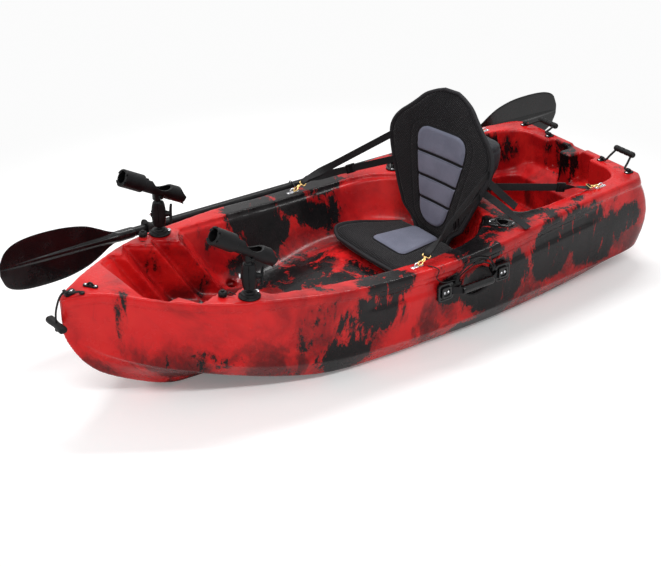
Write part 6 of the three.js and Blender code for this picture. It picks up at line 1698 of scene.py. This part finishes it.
eye_span = 0.0075
eye = joined(slab(0.046, 0.015, 0.004, 0.0071, 10, 0.0012), stock(arch_of(eye_span), 0.003, nylon, 18))
heads = screws([(x, 0, 0.004) for x in (-0.016, 0.016)], bright_steel, 0.95)
bow_eye_x, bow_eye_y = -0.9145, -0.0105
bow_eye_at = moved(bow_eye_x, bow_eye_y, deck_at(bow_eye_x) + 0.0006) @ spin(-58, "Z")
dressed("bow_deck_eye_moulding", lay(joined_painted((eye, nylon), (heads, bright_steel)),
    matrix=bow_eye_at), "kayak", ["bow_deck_eye"])

# Stern carry handles: bent rod with a ribbed rubber grip, its ends turning in two lugs screwed
# to the deck
stern_x, stern_inner, stern_outer, stern_reach, stern_wire = 0.919, 0.125, 0.250, 0.052, 0.0036
stern_grip, stern_grip_long, stern_pin = 0.010, 0.084, 0.008
foot_long, foot_wide, foot_thick, lug_radius, lug_high = 0.030, 0.020, 0.004, 0.0064, 0.0084
stern_lift = {"port": 42, "starboard": 9}
foot_low = min(deck_at(stern_x - foot_long / 2), deck_at(stern_x + foot_long / 2)) - 0.0005 + gap
for side, s in port_starboard:
    mirror = mirrored(s)
    for place, y, way in (("inner", stern_inner, 1), ("outer", stern_outer, -1)):
        lug = lay(bar(lug_radius, foot_wide * 0.6, 40, round_by=0.0008), 0, way * foot_wide * 0.1,
            lug_high, (90, 0, 0))
        web = lay(box_shape(0.0126, foot_wide * 0.56, 0.006), 0, way * foot_wide * 0.1, lug_high - 0.0035)
        hole_y = way * (foot_wide * 0.5 - stern_pin / 2 + stern_pin)
        foot = worked(slab(foot_long, foot_wide, foot_thick, foot_wide / 3, 8, 0.0012), fuse(lug),
            fuse(web), cut(lay(bar(stern_wire + gap, foot_wide, 32), 0, hole_y, lug_high, (90, 0, 0))))
        head = screws([(-foot_long / 3, 0, foot_thick - 0.0004)], bright_steel, 0.98)
        whole = lay(joined_painted((foot, nylon), (head, bright_steel)),
            matrix=mirror @ moved(stern_x, y, foot_low))
        dressed(f"stern_foot_{place}_{side}_lug", whole, "kayak",
            [f"stern_foot_{place}_{side}"])
    reach_in = foot_wide * 0.5 - stern_pin / 2 - gap
    a, b = stern_inner + reach_in, stern_outer - reach_in
    mid = (a + b) / 2
    route = [(0, a, 0), (0, a + stern_pin * 1.6, 0), (stern_reach * 0.4, a + stern_pin * 2.2, 0),
        (stern_reach, mid - stern_grip_long / 3, 0), (stern_reach, mid, 0),
        (stern_reach, mid + stern_grip_long / 3, 0), (stern_reach * 0.4, b - stern_pin * 2.2, 0),
        (0, b - stern_pin * 1.6, 0), (0, b, 0)]
    rod_part = stock(curve_points(route, 120), stern_wire, soft_rubber, 20)
    profile = [(0, -stern_grip_long / 2), (stern_grip * 0.78, -stern_grip_long / 2),
        (stern_grip * 0.84, 0.0012 - stern_grip_long / 2)]
    for i in range(4):
        low, high = ((i + v) / 4 * stern_grip_long - stern_grip_long / 2 for v in (0.10, 0.90))
        edge = (high - low) / 7
        profile += [(stern_grip * 0.84, low), (stern_grip * 0.96, low + edge * 0.4),
            (stern_grip, low + edge), (stern_grip, high - edge), (stern_grip * 0.96, high - edge * 0.4),
            (stern_grip * 0.84, high)]
    profile += [(stern_grip * 0.84, stern_grip_long / 2 - 0.0012),
        (stern_grip * 0.78, stern_grip_long / 2), (0, stern_grip_long / 2)]
    sleeve = lay(turned(profile, 40), stern_reach, mid, 0, (90, 0, 0))
    hold = mirror @ moved(stern_x, 0, foot_low + lug_high) @ spin(-stern_lift[side], "Y")
    dressed(f"stern_handle_{side}_loop", lay(joined(rod_part, sleeve), matrix=hold),
        f"stern_handle_{side}_body", [f"stern_handle_{side}"], soft_rubber)

# Drain plug: a rubber-faced screw plug let into the transom, a little to port. It has a grip bar,
# nicks round its rim and a threaded stem.
drain_y, drain_z = -0.060, 0.160
(bulge,) = row_at(transom_shares, drain_z / depth)
face_x = (transom_fade[1] + bulge) * half_length
on_face = moved(face_x, drain_y, drain_z) @ spin(90, "Y")
flange_low = -0.003 + gap
flange = turned([(0, flange_low), (0.0170, flange_low), (0.0170, flange_low + 0.0036),
    (0.0160, flange_low + 0.0050), (0, flange_low + 0.0050)], 56)
nicks = [cut(lay(bar(0.0016, 0.02, 16), 0.0175 * math.cos(a), 0.0175 * math.sin(a), 0)) for a in angles(16)]
stem = lay(bar(0.009, 0.016, 40), 0, 0, gap - 0.008)
threads_on = joined(*[lay(turned([(0.0078, -0.0007), (0.00895, -0.0002), (0.00895, 0.0002),
    (0.0078, 0.0007)], 40), 0, 0, -0.0045 - 0.0022 * i) for i in range(4)])
grip_bar = lay(slab(0.0255, 0.006, 0.011, 0.0020, 6, 0.0012), 0, 0, 0)
plug = joined(worked(flange, *nicks), stem, grip_bar, threads_on)
dressed("drain_plug_screw", lay(plug, matrix=on_face), "drain_plug_body", ["drain_plug"],
    soft_rubber)

# Stowed paddle: a two-part black shaft joined by a spigot and spring button, with two
# glass-filled nylon blades and rubber drip rings
paddle_from, paddle_to, feather, drip_at = -1.010, 1.190, 32, 0.515
blade_length, blade_width, blade_thick, blade_socket = 0.445, 0.172, 0.0036, 0.060
neck_outer, spigot_radius, spigot_length = 0.0175, 0.0115, 0.062
button_radius, button_out, button_travel = 0.0035, 0.0024, 0.003
blade_shares = [(0, 0.102, 0.102, 1, 1), (0.13, 0.102, 0.102, 1, 1), (0.19, 0.16, 0.15, 0.8, 0.8),
    (0.27, 0.29, 0.26, 0.68, 0.7), (0.36, 0.405, 0.37, 0.58, 0.66), (0.5, 0.495, 0.45, 0.48, 0.6),
    (0.65, 0.52, 0.48, 0.38, 0.54), (0.8, 0.505, 0.465, 0.28, 0.46), (0.9, 0.45, 0.4, 0.2, 0.4),
    (0.965, 0.34, 0.27, 0.14, 0.34), (1, 0.13, 0.08, 0.11, 0.3)]
paddle = moved(0, shaft_y, shaft_z) @ spin(shaft_sag, "Y")
middle_x = (paddle_from + paddle_to) / 2
half_shaft = (paddle_to - paddle_from) / 2 - blade_length + blade_socket
along_x = spin(90, "Y")
button_x = middle_x + spigot_length / 2
well = lay(bar(button_radius + gap, shaft_radius * 2, 32), button_x, 0,
    shaft_radius + button_out / 2 - button_travel)
anodised = moulded("coated_shaft", (1500.0, 0.00005, 30.0, 0.00005, 0.32, 0.12),
    (0.0040, 0.0040, 0.0046, 1), (0.0095, 0.0095, 0.0105, 1), 0.16)
bow_shaft = worked(lay(bar(shaft_radius, half_shaft, 64),
    matrix=moved(middle_x - half_shaft / 2, 0, 0) @ along_x),
    fuse(lay(bar(spigot_radius, spigot_length, 48),
    matrix=moved(middle_x + spigot_length / 2 - gap, 0, 0) @ along_x)), cut(well))
slot_half = math.radians(feather) + math.asin((button_radius + gap) / spigot_radius)
slot_wide = (button_radius + gap) * 2
outer_r = shaft_radius + 0.012
sector = [(spigot_radius * math.sin(a), spigot_radius * math.cos(a))
    for a in np.linspace(-slot_half, slot_half, 24)]
sector += [(outer_r * math.sin(a), outer_r * math.cos(a)) for a in np.linspace(slot_half, -slot_half, 24)]
shape = bmesh.new()
for x in (-slot_wide / 2, slot_wide / 2):
    for y, z in sector:
        shape.verts.new((button_x + x, y, z))
shape.verts.ensure_lookup_table()
n = len(sector)
for i in range(n):
    shape.faces.new([shape.verts[k] for k in (i, (i + 1) % n, (i + 1) % n + n, i + n)])
for i in range(23):
    for base_at in (0, n):
        shape.faces.new([shape.verts[base_at + k] for k in (i, i + 1, n - 2 - i, n - 1 - i)])
bmesh.ops.recalc_face_normals(shape, faces=shape.faces)
slot_tool = bpy.data.meshes.new("slot")
shape.to_mesh(slot_tool)
shape.free()
stern_shaft = worked(lay(bar(shaft_radius, half_shaft - gap, 64),
    matrix=moved(middle_x + half_shaft / 2 + gap / 2, 0, 0) @ along_x),
    cut(lay(bar(spigot_radius + 0.0006, spigot_length + 0.0006, 48),
    matrix=moved(middle_x + spigot_length / 2, 0, 0) @ along_x)), cut(slot_tool))
for name, mesh, body in (("bow", bow_shaft, "kayak"), ("stern", stern_shaft, "paddle_stern_half")):
    dressed(f"shaft_{name}_half_tube", lay(mesh, matrix=paddle), body,
        [f"shaft_{name}_half"], anodised)
button_length = shaft_radius + button_out - button_travel
spring_button = turned([(0, 0), (button_radius, 0), (button_radius, button_length - 0.0012),
    (button_radius * 0.9, button_length - 0.0005), (button_radius * 0.6, button_length - 0.0001),
    (0, button_length)], 32)
dressed("shaft_button_pin", lay(spring_button, matrix=paddle @ moved(button_x, 0, button_travel)),
    "shaft_button_body", ["shaft_button"], bright_steel)


def blade_ring(t):
    upper, lower, rib_out, rib_half = row_at(blade_shares, t)
    top, bottom = upper * blade_width, lower * blade_width
    out, wide = rib_out * neck_outer, rib_half * neck_outer
    points = []
    for v in [*np.linspace(1, 0, 29), *np.linspace(0, -1, 29)[1:]]:
        half = top if v > 0 else bottom
        z = half * bulged(v, 1.4) if v else 0.0
        edge = min(1, max(0, (1 - abs(v)) / 0.10))
        plate = blade_thick / 2 * (0.35 + 0.65 * math.sqrt(1 - (1 - edge) ** 2))
        body_of = out * math.sqrt(max(0, 1 - (z / wide) ** 2)) if wide else 0
        points.append((z, max(plate, body_of)))
    return [(t * blade_length, y, z) for z, y in points] + [(t * blade_length, -y, z)
        for z, y in reversed(points)]


rings = [blade_ring(t) for t in (*np.linspace(0, 0.94, 60), 0.955, 0.965, 0.975, 0.983, 0.990, 0.996, 1.0)]
for name, s in (("bow", -1), ("stern", 1)):
    shell = worked(loft(rings), ("SMOOTH", {"factor": 0.4, "iterations": 2}),
        cut(lay(bar(shaft_radius + gap, blade_socket * 2 + 0.0006, 64), matrix=along_x)))
    place = paddle @ moved(paddle_to - blade_length if s > 0 else paddle_from + blade_length, 0, 0)
    if s < 0:
        place = place @ spin(180, "Y")
    dressed(f"blade_{name}_moulding", lay(shell, matrix=place), "paddle_stern_half" if s > 0 else "kayak",
        [f"blade_{name}"], gloss_nylon, sharp=50)
    lip, wide, far = 0.003, 0.017, 0.029
    r = shaft_radius + gap
    drip = turned([(r, -wide / 2), (shaft_radius + lip, -wide / 2), (shaft_radius + lip, -0.0006),
        (shaft_radius + lip * 1.3, 0.0002), (far - lip, lip), (far - lip * 0.4, lip * 1.3),
        (far, wide / 2 - 0.0004), (far - 0.0006, wide / 2), (far - lip * 0.8, wide / 2),
        (far - lip, wide / 2 - 0.0006), (far - lip * 1.5, lip * 1.9), (shaft_radius + lip * 1.6, lip * 2),
        (r, lip * 2)], 56)
    ring_at = paddle @ moved(middle_x + s * (middle_x + drip_at), 0, 0) @ spin(90 * s, "Y")
    dressed(f"drip_ring_{name}_rubber", lay(drip, matrix=ring_at),
        "paddle_stern_half" if s > 0 else "kayak", [f"drip_ring_{name}"], soft_rubber)
